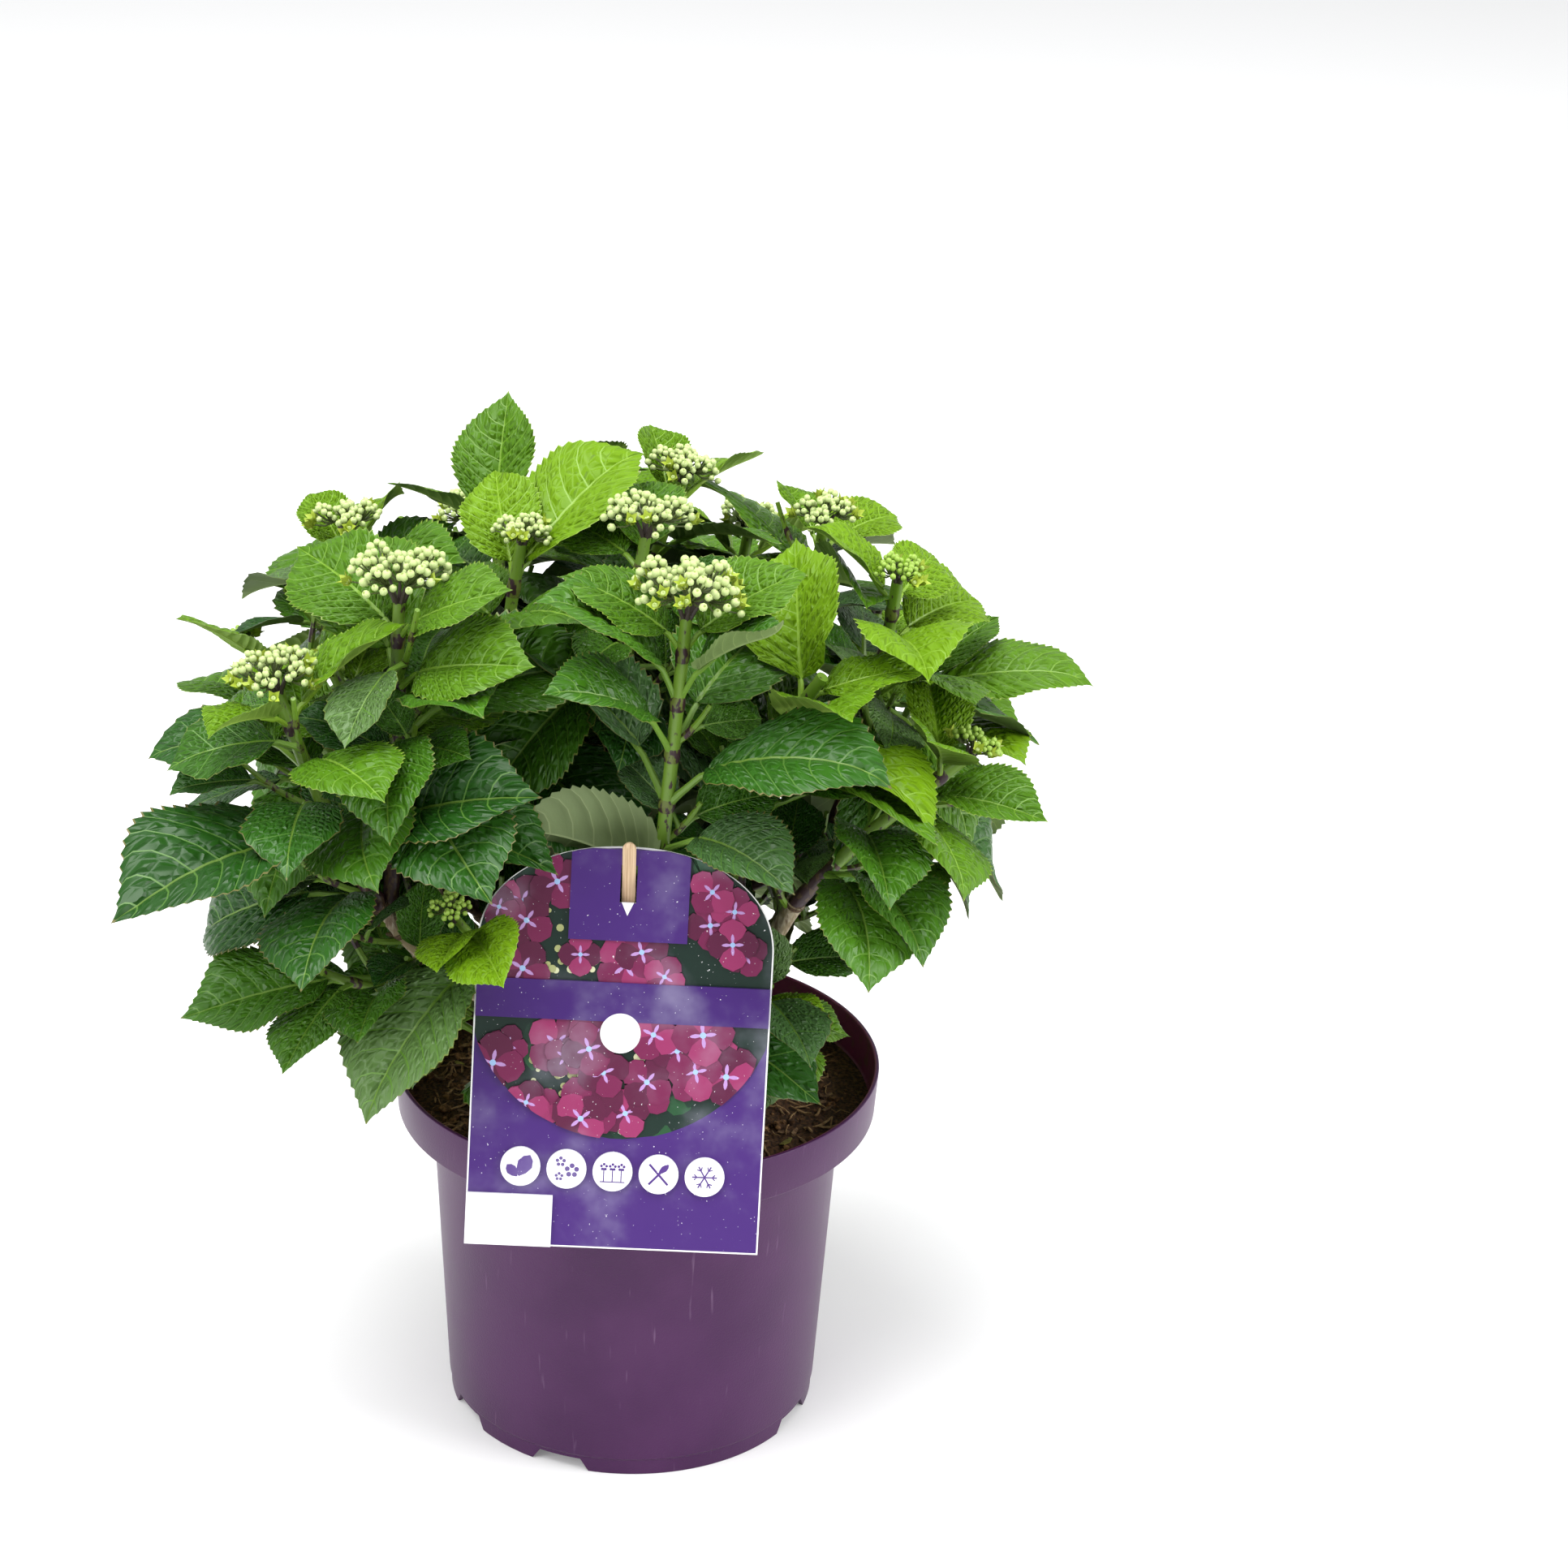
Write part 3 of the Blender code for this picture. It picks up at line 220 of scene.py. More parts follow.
SIZE_JITTER = 0.10
OUTWARD_DROOP = math.radians(16)
OUTWARD_ROLL = math.radians(26)
STALK_LIFT = math.radians(16)
CROWN_AXIS = Vector((-0.010, 0.020, 0.0))
UP = Vector((0.0, 0.0, 1.0))

WHOLE_LEAF = 0.075
LEAF_WIDTH = 0.62
LEAF_THICKNESS = 0.022
LEAF_FOLD = math.radians(13)
LEAF_STATIONS = (0.15, 0.42, 0.74)
OUTLINE_RISE, OUTLINE_FALL = 0.68, 1.12
OUTLINE_PEAK = OUTLINE_RISE / (OUTLINE_RISE + OUTLINE_FALL)
STALK_RADIUS_ROOT, STALK_RADIUS_BLADE = 0.0014, 0.0010
ROOT_SINK = 0.0004

TRIES = 26
SWING_STEP = math.radians(2.6)
TILT_STEP = math.radians(2.0)
SHRINK_STEP = 0.012
CLEARANCE = 0.0007

HEAD_LOBES = 6
HEAD_VALLEY = 0.74
HEAD_DEPTH = 0.44
HEAD_PROFILE = ((0.10, 0.0), (0.48, 0.70), (0.40, 1.0))
HEAD_DOME = 1.12
HEAD_SINK = 0.003

# The finer twigs stand in the axils of old leaves and at the nodes of the canes.
TWIG_LEAVES = 2
TWIG_PLACES = (0.30, 0.40, 0.50, 0.60, 0.70, 0.80, 0.88, 0.96)
TWIG_LENGTH_LOW, TWIG_LENGTH_HIGH = 0.012, 0.046
TWIG_LEAF_LOW, TWIG_LEAF_HIGH = 0.044, 0.072
TWIG_RADIUS_LOW, TWIG_RADIUS_TOP = 0.0014, 0.0010
TWIG_TRIES = 20
AXIL_RISE = 0.0036
HEAD_CLEAR = 0.020
TWIG_FROM_CARD = 0.007
TWIG_RISE = 0.4  # how much a twig turns up
TIP_OVER_SOIL = 0.012


# -------------------- how stems grow
def around(sides):
    """Each corner of a ring, with the one after it."""
    return [(i, (i + 1) % sides) for i in range(sides)]


def turns(count, shift=0.0):
    """Angles all the way round, the first of them a share of a step from 0."""
    return [math.tau * (i + shift) / count for i in range(count)]


def way_at(angle, across, up):
    """The direction at an angle from across towards up."""
    return math.cos(angle) * across + math.sin(angle) * up


def square_to(along):
    """The directions across and up from one that never lies along X."""
    east = Vector((1.0, 0.0, 0.0))
    across = (east - along * east.dot(along)).normalized()
    return across, along.cross(across)


def loft_faces(rings, sides):
    """Faces of a closed skin over rings of equal size, with flat ends."""
    faces = [list(reversed(range(sides)))]
    for low in range(0, (rings - 1) * sides, sides):
        faces += [[low + i, low + j, low + sides + j, low + sides + i] for i, j in around(sides)]
    return faces + [[(rings - 1) * sides + i for i in range(sides)]]


def tip_faces(rings, sides):
    """As loft_faces, but the skin closes to a single point after the last ring."""
    last = (rings - 1) * sides
    return loft_faces(rings, sides)[:-1] + [[last + i, last + j, last + sides] for i, j in around(sides)]


def polar(radius, turn):
    """X and Y at a distance from the Z axis."""
    return radius * math.cos(turn), radius * math.sin(turn)


def level(way):
    """A direction without its rise."""
    return Vector((way.x, way.y, 0.0)).normalized()


class Stem:
    """A stem along a curve with a start, a guide and an end, tapering from one radius to another."""

    def __init__(self, start, guide, end, low, top):
        self.start, self.guide, self.end = start, guide, end
        self.low, self.top = low, top
        self.foot_plane = None
        steps = [self.point(i / LENGTH_STEPS) for i in range(LENGTH_STEPS + 1)]
        self.length = sum((b - a).length for a, b in zip(steps, steps[1:]))

    def point(self, t):
        return (1 - t) ** 2 * self.start + 2 * t * (1 - t) * self.guide + t * t * self.end

    def along(self, t):
        return ((1 - t) * (self.guide - self.start) + t * (self.end - self.guide)).normalized()

    def radius(self, t):
        return self.low + (self.top - self.low) * t


def ring(centre, along, radius, sides):
    """Points round a centre, square to a direction that never lies along X."""
    across, up = square_to(along)
    return [centre + radius * way_at(angle, across, up) for angle in turns(sides)]


def slide_to_plane(points, along, on_plane, normal):
    """Moves the points along a direction until they lie on a plane."""
    return [p + along * ((on_plane - p).dot(normal) / along.dot(normal)) for p in points]


def node_count(cane):
    return max(round(cane.length / NODE_SPACING), 2)


def node_swell(cane, t):
    nodes = node_count(cane)
    from_node = 2 * abs(t * nodes - round(t * nodes))
    return NODE_SWELL + (1 - NODE_SWELL) * from_node


def cane_ring(cane, t):
    return ring(cane.point(t), cane.along(t), cane.radius(t) * node_swell(cane, t), CANE_SIDES)


def skin_reach(cane, t, half_width, normal):
    """How far the skin stands out from the cane's middle, over a short stretch."""
    skin = []
    for place in (t - half_width / cane.length, t, t + half_width / cane.length):
        skin += cane_ring(cane, place)
    return max((p - cane.point(t)).dot(normal) for p in skin)


def stem_from(parent, at, tip, low, top):
    """A stem that grows on from a cane or bough, at its tip or from its side, a gap clear of it."""
    point, along = parent.point(at), parent.along(at)
    toward = (tip - point).normalized()
    if at == 1.0:
        heading = toward.lerp(along, TIP_STEM_LEAN).normalized()
        normal = along
        reach = GAP
    else:
        normal = (toward - along * toward.dot(along)).normalized()
        heading = way_at(SIDE_STEM_ANGLE, along, normal)
        reach = skin_reach(parent, at, low, normal) + GAP
    start = point + heading * (reach / heading.dot(normal))
    guide = start + heading * (tip - start).length * GUIDE_REACH
    stem = Stem(start, guide, tip, low, top)
    stem.foot_plane = (point + normal * reach, normal)
    return stem


def cane_stem(cane):
    foot = Vector((*cane.foot, SOIL_LEVEL + GAP))
    tip = Vector(cane.tip)
    reach = tip - foot
    out = cane.spread * SPREAD_AT_GUIDE
    guide = foot + Vector((reach.x * out, reach.y * out, reach.z * GUIDE_HEIGHT))
    stem = Stem(foot, guide, tip, cane.radius, cane.radius * CANE_TAPER)
    stem.foot_plane = (foot, UP)
    return stem


def cane_mesh(stem, flared):
    steps = 2 * node_count(stem)
    places = [i / steps for i in range(1, steps + 1)]
    foot = cane_ring(stem, 0.0)
    if flared:
        places.insert(0, FLARE_HEIGHT / stem.length)
        foot = ring(stem.start, stem.along(0.0), stem.low * ROOT_FLARE, CANE_SIDES)
    points = slide_to_plane(foot, stem.along(0.0), *stem.foot_plane)
    for t in places:
        points += cane_ring(stem, t)
    return points, loft_faces(len(places) + 1, CANE_SIDES)


def shoot_stem_mesh(stem):
    points = []
    for row in range(STEM_RINGS + 1):
        t = row / STEM_RINGS
        along = stem.along(t)
        section = ring(stem.point(t), along, stem.radius(t), STEM_SIDES)
        if row == 0:
            section = slide_to_plane(section, along, *stem.foot_plane)
        points += section
    return points, loft_faces(STEM_RINGS + 1, STEM_SIDES)


# -------------------- how leaves are set
Leaf = namedtuple("Leaf", "root base heading across length bend")


def pair_places(shoot, stem):
    """How far along the stem each pair sits, from the tip down, as far as the stem reaches."""
    places = []
    down = 0.0
    for pair in PAIRS[: shoot.pairs]:
        down += pair.step
        if down > stem.length - LEAST_FOOT:
            break
        places.append(1 - down / stem.length)
    return places


def outward_from(point):
    return level(point - CROWN_AXIS)


def rule_leaf(shoot, stem, pair, side, place):
    """Way out, lift and length of a leaf, as its pair's rule and the crown's outer droop have them."""
    rule = PAIRS[pair]
    turn = math.radians(shoot.turn) + QUARTER * pair + math.pi * side
    out = way_at(turn, *square_to(stem.along(place)))
    lift = math.radians(rule.lift) - OUTWARD_DROOP * level(out).dot(outward_from(stem.point(place)))
    return (out + level(out)).normalized(), lift, shoot.leaf * rule.size


def shape_leaf(shoot, stem, pair, side, draw, attempt):
    """The leaf of one side of a pair. Each further attempt may swing, tilt and shrink it a little more."""
    rule = PAIRS[pair]
    place = pair_places(shoot, stem)[pair]
    node = stem.point(place)
    given = TURNED.get((shoot.name, pair, side))
    swing, tilt = draw.uniform(-1, 1), draw.uniform(-1, 1)
    roll = draw.uniform(-1, 1) * ROLL_JITTER
    grown = 1 + draw.uniform(-1, 1) * SIZE_JITTER
    if given:
        turn = math.radians(given.turn)
        flat = Vector((math.cos(turn), math.sin(turn), 0.0))
        lift, length = math.radians(given.lift), given.length
        swing *= SWING_STEP * attempt
        tilt *= TILT_STEP * attempt
    else:
        flat, lift, length = rule_leaf(shoot, stem, pair, side, place)
        length *= grown
        swing *= SWING_JITTER + SWING_STEP * attempt
        tilt *= LIFT_JITTER + TILT_STEP * attempt
    flat = Matrix.Rotation(swing, 3, "Z") @ flat
    lift += tilt
    length *= 1 - SHRINK_STEP * attempt

    across = flat.cross(UP).normalized()
    heading = Matrix.Rotation(lift, 3, across) @ flat
    stalk = Matrix.Rotation(lift + STALK_LIFT, 3, across) @ flat
    base = node + stalk * (stem.radius(place) + rule.stalk * shoot.leaf / WHOLE_LEAF)
    roll += OUTWARD_ROLL * across.dot(outward_from(node))
    across = Matrix.Rotation(roll, 3, heading) @ across
    root = node - stalk * ROOT_SINK
    return Leaf(root, base, heading, across, length, math.radians(rule.bend))


def blade_frame(leaf, s):
    """Middle and upper side of the blade at a share of its length; the blade bends down in an arc."""
    angle = leaf.bend * s
    radius = leaf.length / leaf.bend
    normal = leaf.across.cross(leaf.heading)
    middle = leaf.base + radius * (math.sin(angle) * leaf.heading - (1 - math.cos(angle)) * normal)
    return middle, way_at(angle, normal, leaf.heading)


def half_width(length, s):
    peak = OUTLINE_PEAK**OUTLINE_RISE * (1 - OUTLINE_PEAK) ** OUTLINE_FALL
    return length * LEAF_WIDTH / 2 * s**OUTLINE_RISE * (1 - s) ** OUTLINE_FALL / peak


def diamond(centre, across, up, wide, high):
    return [centre - across * wide, centre + up * high, centre + across * wide, centre - up * high]


def leaf_solid(leaf, margin=0.0, blade_only=False):
    """The plain closed leaf that others keep clear of."""
    up = leaf.across.cross(leaf.heading)
    rings = [
        diamond(leaf.root, leaf.across, up, STALK_RADIUS_ROOT + margin, STALK_RADIUS_ROOT + margin),
        diamond(leaf.base, leaf.across, up, STALK_RADIUS_BLADE + margin, STALK_RADIUS_BLADE + margin),
    ]
    thick = leaf.length * LEAF_THICKNESS / 2 + margin
    for s in LEAF_STATIONS:
        middle, up = blade_frame(leaf, s)
        wide = half_width(leaf.length, s) + margin
        edge = up * (wide * math.sin(LEAF_FOLD))
        side = leaf.across * (wide * math.cos(LEAF_FOLD))
        thin = thick * (1 - s * s)
        rings.append([middle - side + edge, middle + up * thin, middle + side + edge, middle - up * thin])
    if blade_only:
        rings = rings[1:]
    tip, _ = blade_frame(leaf, 1.0)
    points = [p for one in rings for p in one] + [tip]
    return points, tip_faces(len(rings), 4)


def head_axes(stem):
    """Middle of the head's foot, the direction of its axis and two square to that."""
    axis = (stem.along(1.0) + UP).normalized()
    return stem.end - axis * HEAD_SINK, axis, *square_to(axis)


def head_solid(shoot, stem):
    base, axis, across, up = head_axes(stem)
    depth = shoot.bloom * HEAD_DEPTH
    sides = 2 * HEAD_LOBES
    points = []
    for share, height in HEAD_PROFILE:
        for i, angle in enumerate(turns(sides)):
            wide = shoot.bloom * share * (1.0 if i % 2 else HEAD_VALLEY)
            lateral = wide * way_at(angle + math.radians(shoot.turn), across, up)
            points.append(base + lateral + axis * (depth * height + HEAD_SINK * (height > 0)))
    points.append(base + axis * (depth * HEAD_DOME + HEAD_SINK))
    return points, tip_faces(len(HEAD_PROFILE), sides)


# -------------------- growing
class Skin:
    """A closed skin for telling whether two things touch."""

    def __init__(self, points, faces):
        self.tree = BVHTree.FromPolygons(points, faces)
        self.low = [min(p[i] for p in points) for i in range(3)]
        self.high = [max(p[i] for p in points) for i in range(3)]

    def touches(self, other):
        apart = any(self.low[i] > other.high[i] or other.low[i] > self.high[i] for i in range(3))
        return not apart and bool(self.tree.overlap(other.tree))


class Placed:
    """All that already has its place. A leaf may meet its own stem only with its stalk."""

    def __init__(self):
        self.solids = []
        self.leaves = []

    def add_solid(self, owner, points, faces):
        self.solids.append((owner, Skin(points, faces)))

    def add_object(self, made):
        points = [v.co.copy() for v in made.data.vertices]
        self.add_solid(made.name, points, [list(p.vertices) for p in made.data.polygons])

    def add_leaf(self, owner, leaf):
        self.leaves.append((owner, Skin(*leaf_solid(leaf)), Skin(*leaf_solid(leaf, blade_only=True))))

    def free(self, owner, leaf):
        whole = Skin(*leaf_solid(leaf, CLEARANCE))
        blade = Skin(*leaf_solid(leaf, CLEARANCE, blade_only=True))
        for other, skin in self.solids:
            if (blade if other == owner else whole).touches(skin):
                return False
        for other, other_whole, other_blade in self.leaves:
            if other != owner and whole.touches(other_whole):
                return False
            if other == owner and (blade.touches(other_whole) or whole.touches(other_blade)):
                return False
        return True

    def stem_free(self, points, faces, besides):
        """True if a stem meets nothing but the ones it is allowed to grow from."""
        skin = Skin(points, faces)
        if any(other not in besides and skin.touches(there) for other, there in self.solids):
            return False
        return not any(skin.touches(there) for _, there, _ in self.leaves)


def leaf_order(green):
    """Every shoot, pair and side that can have a leaf: the turned ones first, then pair by pair."""
    order = []
    for pair in PAIR_ORDER:
        for shoot in SHOOTS:
            if pair < len(pair_places(shoot, green[shoot.name])):
                order += [(shoot, pair, side) for side in (0, 1)]
    return sorted(order, key=lambda row: (row[0].name, row[1], row[2]) not in TURNED)


def set_leaf(placed, shoot, stem, pair, side, draw, tries, top=None):
    """Sets the first of a few attempts at a leaf that finds room. Gives no leaf if none of them does."""
    for attempt in range(tries):
        leaf = shape_leaf(shoot, stem, pair, side, draw, attempt)
        if placed.free(shoot.name, leaf) and (top is None or inside_crown(leaf, top)):
            placed.add_leaf(shoot.name, leaf)
            return [(pair, side, leaf)]
    return []


def grow(placed):
    """Works out every cane, shoot stem and leaf, pair by pair over the whole plant."""
    woody = {cane.name: cane_stem(cane) for cane in CANES}
    for bough in BOUGHS:
        taper = bough.radius * CANE_TAPER
        woody[bough.name] = stem_from(woody[bough.cane], bough.at, Vector(bough.tip), bough.radius, taper)
    green = {}
    for shoot in SHOOTS:
        parent = woody[shoot.cane]
        low = min(STEM_RADIUS_LOW, parent.radius(shoot.at))
        green[shoot.name] = stem_from(parent, shoot.at, Vector(shoot.tip), low, STEM_RADIUS_TOP)

    rooted = {cane.name for cane in CANES}
    for name, stem in woody.items():
        placed.add_solid(name, *cane_mesh(stem, name in rooted))
    for shoot in SHOOTS:
        placed.add_solid(shoot.name, *shoot_stem_mesh(green[shoot.name]))
        if shoot.bloom:
            placed.add_solid(shoot.name, *head_solid(shoot, green[shoot.name]))
    leaves = {shoot.name: [] for shoot in SHOOTS}
    for shoot, pair, side in leaf_order(green):
        draw = random.Random(f"{shoot.name} {pair} {side}")
        leaves[shoot.name] += set_leaf(placed, shoot, green[shoot.name], pair, side, draw, TRIES)
    return woody, green, leaves


def twig_sites(woody, green):
    """Where a finer twig may stand: the stem that bears it, the place along it and the way out, in turns."""
    sites = []
    for shoot in SHOOTS:
        for pair, place in enumerate(pair_places(shoot, green[shoot.name])):
            if pair >= 1:
                stem = green[shoot.name]
                turn, above = math.radians(shoot.turn) + QUARTER * pair, place + AXIL_RISE / stem.length
                sites += [(shoot.name, stem, above, turn + math.pi * side) for side in (0, 1)]
    for index, (name, stem) in enumerate(woody.items()):
        for step, place in enumerate(TWIG_PLACES):
            turn = index + QUARTER * step
            sites += [(name, stem, place, turn + math.pi * side) for side in (0, 1)]
    return sites


def side_twig(name, bearer, stem, place, turn, draw):
    """A short twig from a stem's side, with what it bears."""
    along = stem.along(place)
    heading = way_at(SIDE_STEM_ANGLE, along, way_at(turn, *square_to(along)))
    start = stem.point(place) + heading * stem.radius(place) * 0.5
    length = draw.uniform(TWIG_LENGTH_LOW, TWIG_LENGTH_HIGH)
    tip = start + (heading + UP * TWIG_RISE).normalized() * length
    twig = Stem(start, start + heading * length * GUIDE_REACH, tip, TWIG_RADIUS_LOW, TWIG_RADIUS_TOP)
    twig.foot_plane = (start, heading)
    size = draw.uniform(TWIG_LEAF_LOW, TWIG_LEAF_HIGH)
    return Shoot(name, bearer, place, tip, TWIG_LEAVES, math.degrees(turn), size, 0.0), twig


def grow_twigs(woody, green, placed):
    """Carries the rule on: short side twigs with small leaves, wherever they find room in the crown."""
    twigs = []
    for bearer, stem, place, turn in twig_sites(woody, green):
        draw = random.Random(f"{bearer} {place:.3f} {turn:.3f}")
        shoot, twig = side_twig(f"twig_{len(twigs)}_of_{bearer}", bearer, stem, place, turn, draw)
        solid = shoot_stem_mesh(twig)
        if not placed.stem_free(*solid, besides=(bearer,)):
            continue
        found = []
        top = stem.end.z - HEAD_CLEAR if bearer in green else CAD_BOX[1].z
        for pair in range(len(pair_places(shoot, twig))):
            for side in (0, 1):
                found += set_leaf(placed, shoot, twig, pair, side, draw, TWIG_TRIES, top)
        if found:
            placed.add_solid(shoot.name, *solid)
            twigs.append((shoot, twig, found))
    return twigs


def inside_crown(leaf, top):
    """True if the tip keeps within the reach of the solids, above the soil and under the stem's own head."""
    tip, _ = blade_frame(leaf, 1.0)
    low, high = CAD_BOX
    return all(low[i] < tip[i] < high[i] for i in range(3)) and SOIL_LEVEL + TIP_OVER_SOIL < tip.z < top


# -------------------- finishes
class Value:
    """A number that changes over a surface. Sums with numbers or other values add Math nodes."""

    def __init__(self, finish, socket):
        self.finish, self.socket = finish, socket

    def __add__(self, other):
        return self.finish.maths("ADD", self, other)

    def __sub__(self, other):
        return self.finish.maths("SUBTRACT", self, other)

    def __rsub__(self, other):
        return self.finish.maths("SUBTRACT", other, self)

    def __mul__(self, other):
        return self.finish.maths("MULTIPLY", self, other)

    __radd__ = __add__
    __rmul__ = __mul__

    def between(self, low, high):
        """0 below low, 1 above high, smooth between."""
        settings = {"interpolation_type": "SMOOTHSTEP"}
        node = self.finish.node("ShaderNodeMapRange", settings, Value=self, From_Min=low, From_Max=high)
        return Value(self.finish, node.outputs["Result"])


class Finish:
    """A material in the making, with its Principled shader and a few ways to vary it."""

    def __init__(self, name, colour, roughness, **plain):
        self.material = bpy.data.materials.new(name)
        self.material.use_nodes = True
        self.tree = self.material.node_tree
        self.shader = self.tree.nodes["Principled BSDF"]
        self.set(self.shader, Base_Color=(*colour, 1.0), Roughness=roughness, **plain)

    def feed(self, socket, value):
        """Ties a socket to a value or to another node's socket, or sets it to a plain number or colour."""
        value = getattr(value, "socket", value)
        if isinstance(value, bpy.types.NodeSocket):
            self.tree.links.new(value, socket)
        else:
            socket.default_value = value

    def set(self, node, **inputs):
        for name, value in inputs.items():
            self.feed(node.inputs[name.replace("_", " ")], value)

    def node(self, kind, settings=None, **inputs):
        node = self.tree.nodes.new(kind)
        for name, value in (settings or {}).items():
            setattr(node, name, value)
        self.set(node, **inputs)
        return node

    def maths(self, operation, *values):
        node = self.node("ShaderNodeMath", {"operation": operation})
        for socket, value in zip(node.inputs, values):
            self.feed(socket, value)
        return Value(self, node.outputs["Value"])

    def place(self, stretch=(1.0, 1.0, 1.0)):
        """Where a point is, in metres, with each direction stretched."""
        where = self.node("ShaderNodeTexCoord").outputs["Object"]
        node = self.node("ShaderNodeVectorMath", {"operation": "MULTIPLY"})
        self.feed(node.inputs[0], where)
        self.feed(node.inputs[1], stretch)
        return node.outputs["Vector"]

    def noise(self, per_metre, detail=3.0, stretch=(1.0, 1.0, 1.0)):
        made = self.node("ShaderNodeTexNoise", Vector=self.place(stretch), Scale=per_metre, Detail=detail)
        return Value(self, made.outputs["Fac"])

    def blade_cells(self):
        """Distance from the veinlets, which part a blade into cells between its side veins."""
        where = self.node("ShaderNodeAttribute", {"attribute_name": BLADE_PLACE}).outputs["Vector"]
        settings = {"feature": "DISTANCE_TO_EDGE"}
        made = self.node("ShaderNodeTexVoronoi", settings, Vector=where, Scale=1.0, Randomness=0.85)
        return Value(self, made.outputs["Distance"])

    def blend(self, amount, low, high):
        """A colour from low to high; either may be a colour made by another blend."""
        node = self.node("ShaderNodeMix", {"data_type": "RGBA"}, Factor=amount)
        for socket, colour in zip(node.inputs[6:8], (low, high)):
            self.feed(socket, (*colour, 1.0) if isinstance(colour, tuple) else colour)
        return node.outputs[2]

    def colour(self, value):
        self.set(self.shader, Base_Color=value)

    def rough(self, value):
        self.set(self.shader, Roughness=value)

    def bump(self, height, deep):
        """Raises the surface by height times deep, in metres."""
        node = self.node("ShaderNodeBump", Height=height, Distance=deep, Strength=1.0)
        self.set(self.shader, Normal=node.outputs["Normal"])


# Base colours of the plant, dealt out leaf by leaf and part by part; the last shade of the older leaves
# is a paler, greyer one, a painted sheen that lays the reflected sky into a few leaves' colour.
BLADES = {
    "old": ((0.011, 0.062, 0.004), (0.016, 0.078, 0.005), (0.023, 0.098, 0.006), (0.048, 0.114, 0.030)),
    "grown": ((0.032, 0.114, 0.004), (0.040, 0.130, 0.005), (0.048, 0.146, 0.006), (0.085, 0.165, 0.042)),
    "fresh": ((0.056, 0.150, 0.004), (0.066, 0.168, 0.005), (0.078, 0.186, 0.006)),
    "young": ((0.096, 0.212, 0.004), (0.112, 0.236, 0.005), (0.132, 0.262, 0.006)),
}
GLOSS = {"old": 0.34, "grown": 0.32, "fresh": 0.22, "young": 0.16}
# The other parts of a leaf: roughness, then the colours of an old, grown, fresh and young one.
LEAF_PARTS = {
    "vein": (
        0.45, (0.066, 0.165, 0.020), (0.088, 0.208, 0.018), (0.118, 0.248, 0.014), (0.168, 0.318, 0.014)
    ),
    "edge": (
        0.50, (0.120, 0.110, 0.026), (0.125, 0.165, 0.024), (0.160, 0.250, 0.020), (0.200, 0.330, 0.022)
    ),
    "underside": (
        0.62, (0.150, 0.205, 0.078), (0.150, 0.220, 0.066), (0.150, 0.250, 0.048), (0.175, 0.290, 0.036)
    ),
    "under_vein": (
        0.55, (0.215, 0.275, 0.115), (0.215, 0.295, 0.100), (0.220, 0.330, 0.070), (0.240, 0.370, 0.055)
    ),
    "stalk": (
        0.42, (0.115, 0.215, 0.026), (0.130, 0.250, 0.026), (0.165, 0.310, 0.024), (0.215, 0.370, 0.026)
    ),
}
BUD_COLOURS = {
    "bud_ray": (0.085, 0.110, 0.030),
    "dark_ray": (0.050, 0.036, 0.030),
    "pale_bud": (0.500, 0.600, 0.250),
    "bud_tip": (0.260, 0.340, 0.070),
    "green_bud": (0.290, 0.450, 0.060),
    "sepal": (0.360, 0.460, 0.042),
}
# Stem colour, the colour of its dashes and how rare they are.
STEM_COLOURS = {
    "green_stem": ((0.115, 0.215, 0.016), (0.035, 0.018, 0.014), 0.60),
    "stem_node": ((0.100, 0.130, 0.018), (0.026, 0.007, 0.012), 0.44),
    "purple_stem": ((0.070, 0.040, 0.018), (0.028, 0.008, 0.012), 0.40),
}


def leaf_finish(name, colour, gloss):
    """Leaf skin: one plain colour, a satin gloss and a quilt of soft cells between the veinlets."""
    made = Finish(name, colour, 0.36, Specular_IOR_Level=gloss)
    made.bump(made.blade_cells().between(0.0, 0.5) + made.noise(120.0, 1.0) * 0.3, 0.0010)
    return made.material


def stem_finish(name, colour, speck, rare):
    """Green bark, with small dark dashes along the stem."""
    made = Finish(name, colour, 0.45)
    dashes = made.noise(520.0, 2.0, (1.0, 1.0, 0.45)).between(rare, rare + 0.08)
    made.colour(made.blend(dashes, colour, speck))
    made.bump(made.noise(700.0, 2.0, (1.0, 1.0, 0.2)), 0.00015)
    return made.material


def soft_finish(name, colour, roughness, per_metre, deep, **plain):
    made = Finish(name, colour, roughness, **plain)
    made.bump(made.noise(per_metre), deep)
    return made.material


def grained(name, colour, roughness, grain, ends, low, high, deep):
    """A skin mottled from a low to a high colour by a grain that also roughens it."""
    made = Finish(name, colour, roughness)
    spots = made.noise(*grain)
    made.colour(made.blend(spots.between(*ends), low, high))
    made.bump(spots, deep)
    return made.material


def by_name(found):
    return {finish.name: finish for finish in found}


def plant_finishes():
    found = []
    for age, shades in BLADES.items():
        found += [leaf_finish(f"{age}_blade_{i}", shade, GLOSS[age]) for i, shade in enumerate(shades)]
    for part, (roughness, *colours) in LEAF_PARTS.items():
        for age, colour in zip(BLADES, colours):
            found.append(soft_finish(f"{age}_{part}", colour, roughness, 900.0, 0.00008))
    found += [stem_finish(name, *look) for name, look in STEM_COLOURS.items()]
    found += [soft_finish(name, colour, 0.5, 800.0, 0.0001) for name, colour in BUD_COLOURS.items()]
    return by_name(found)


# -------------------- gathering meshes
def linked(name, data):
    """An object of the scene."""
    made = bpy.data.objects.new(name, data)
    bpy.context.scene.collection.objects.link(made)
    return made


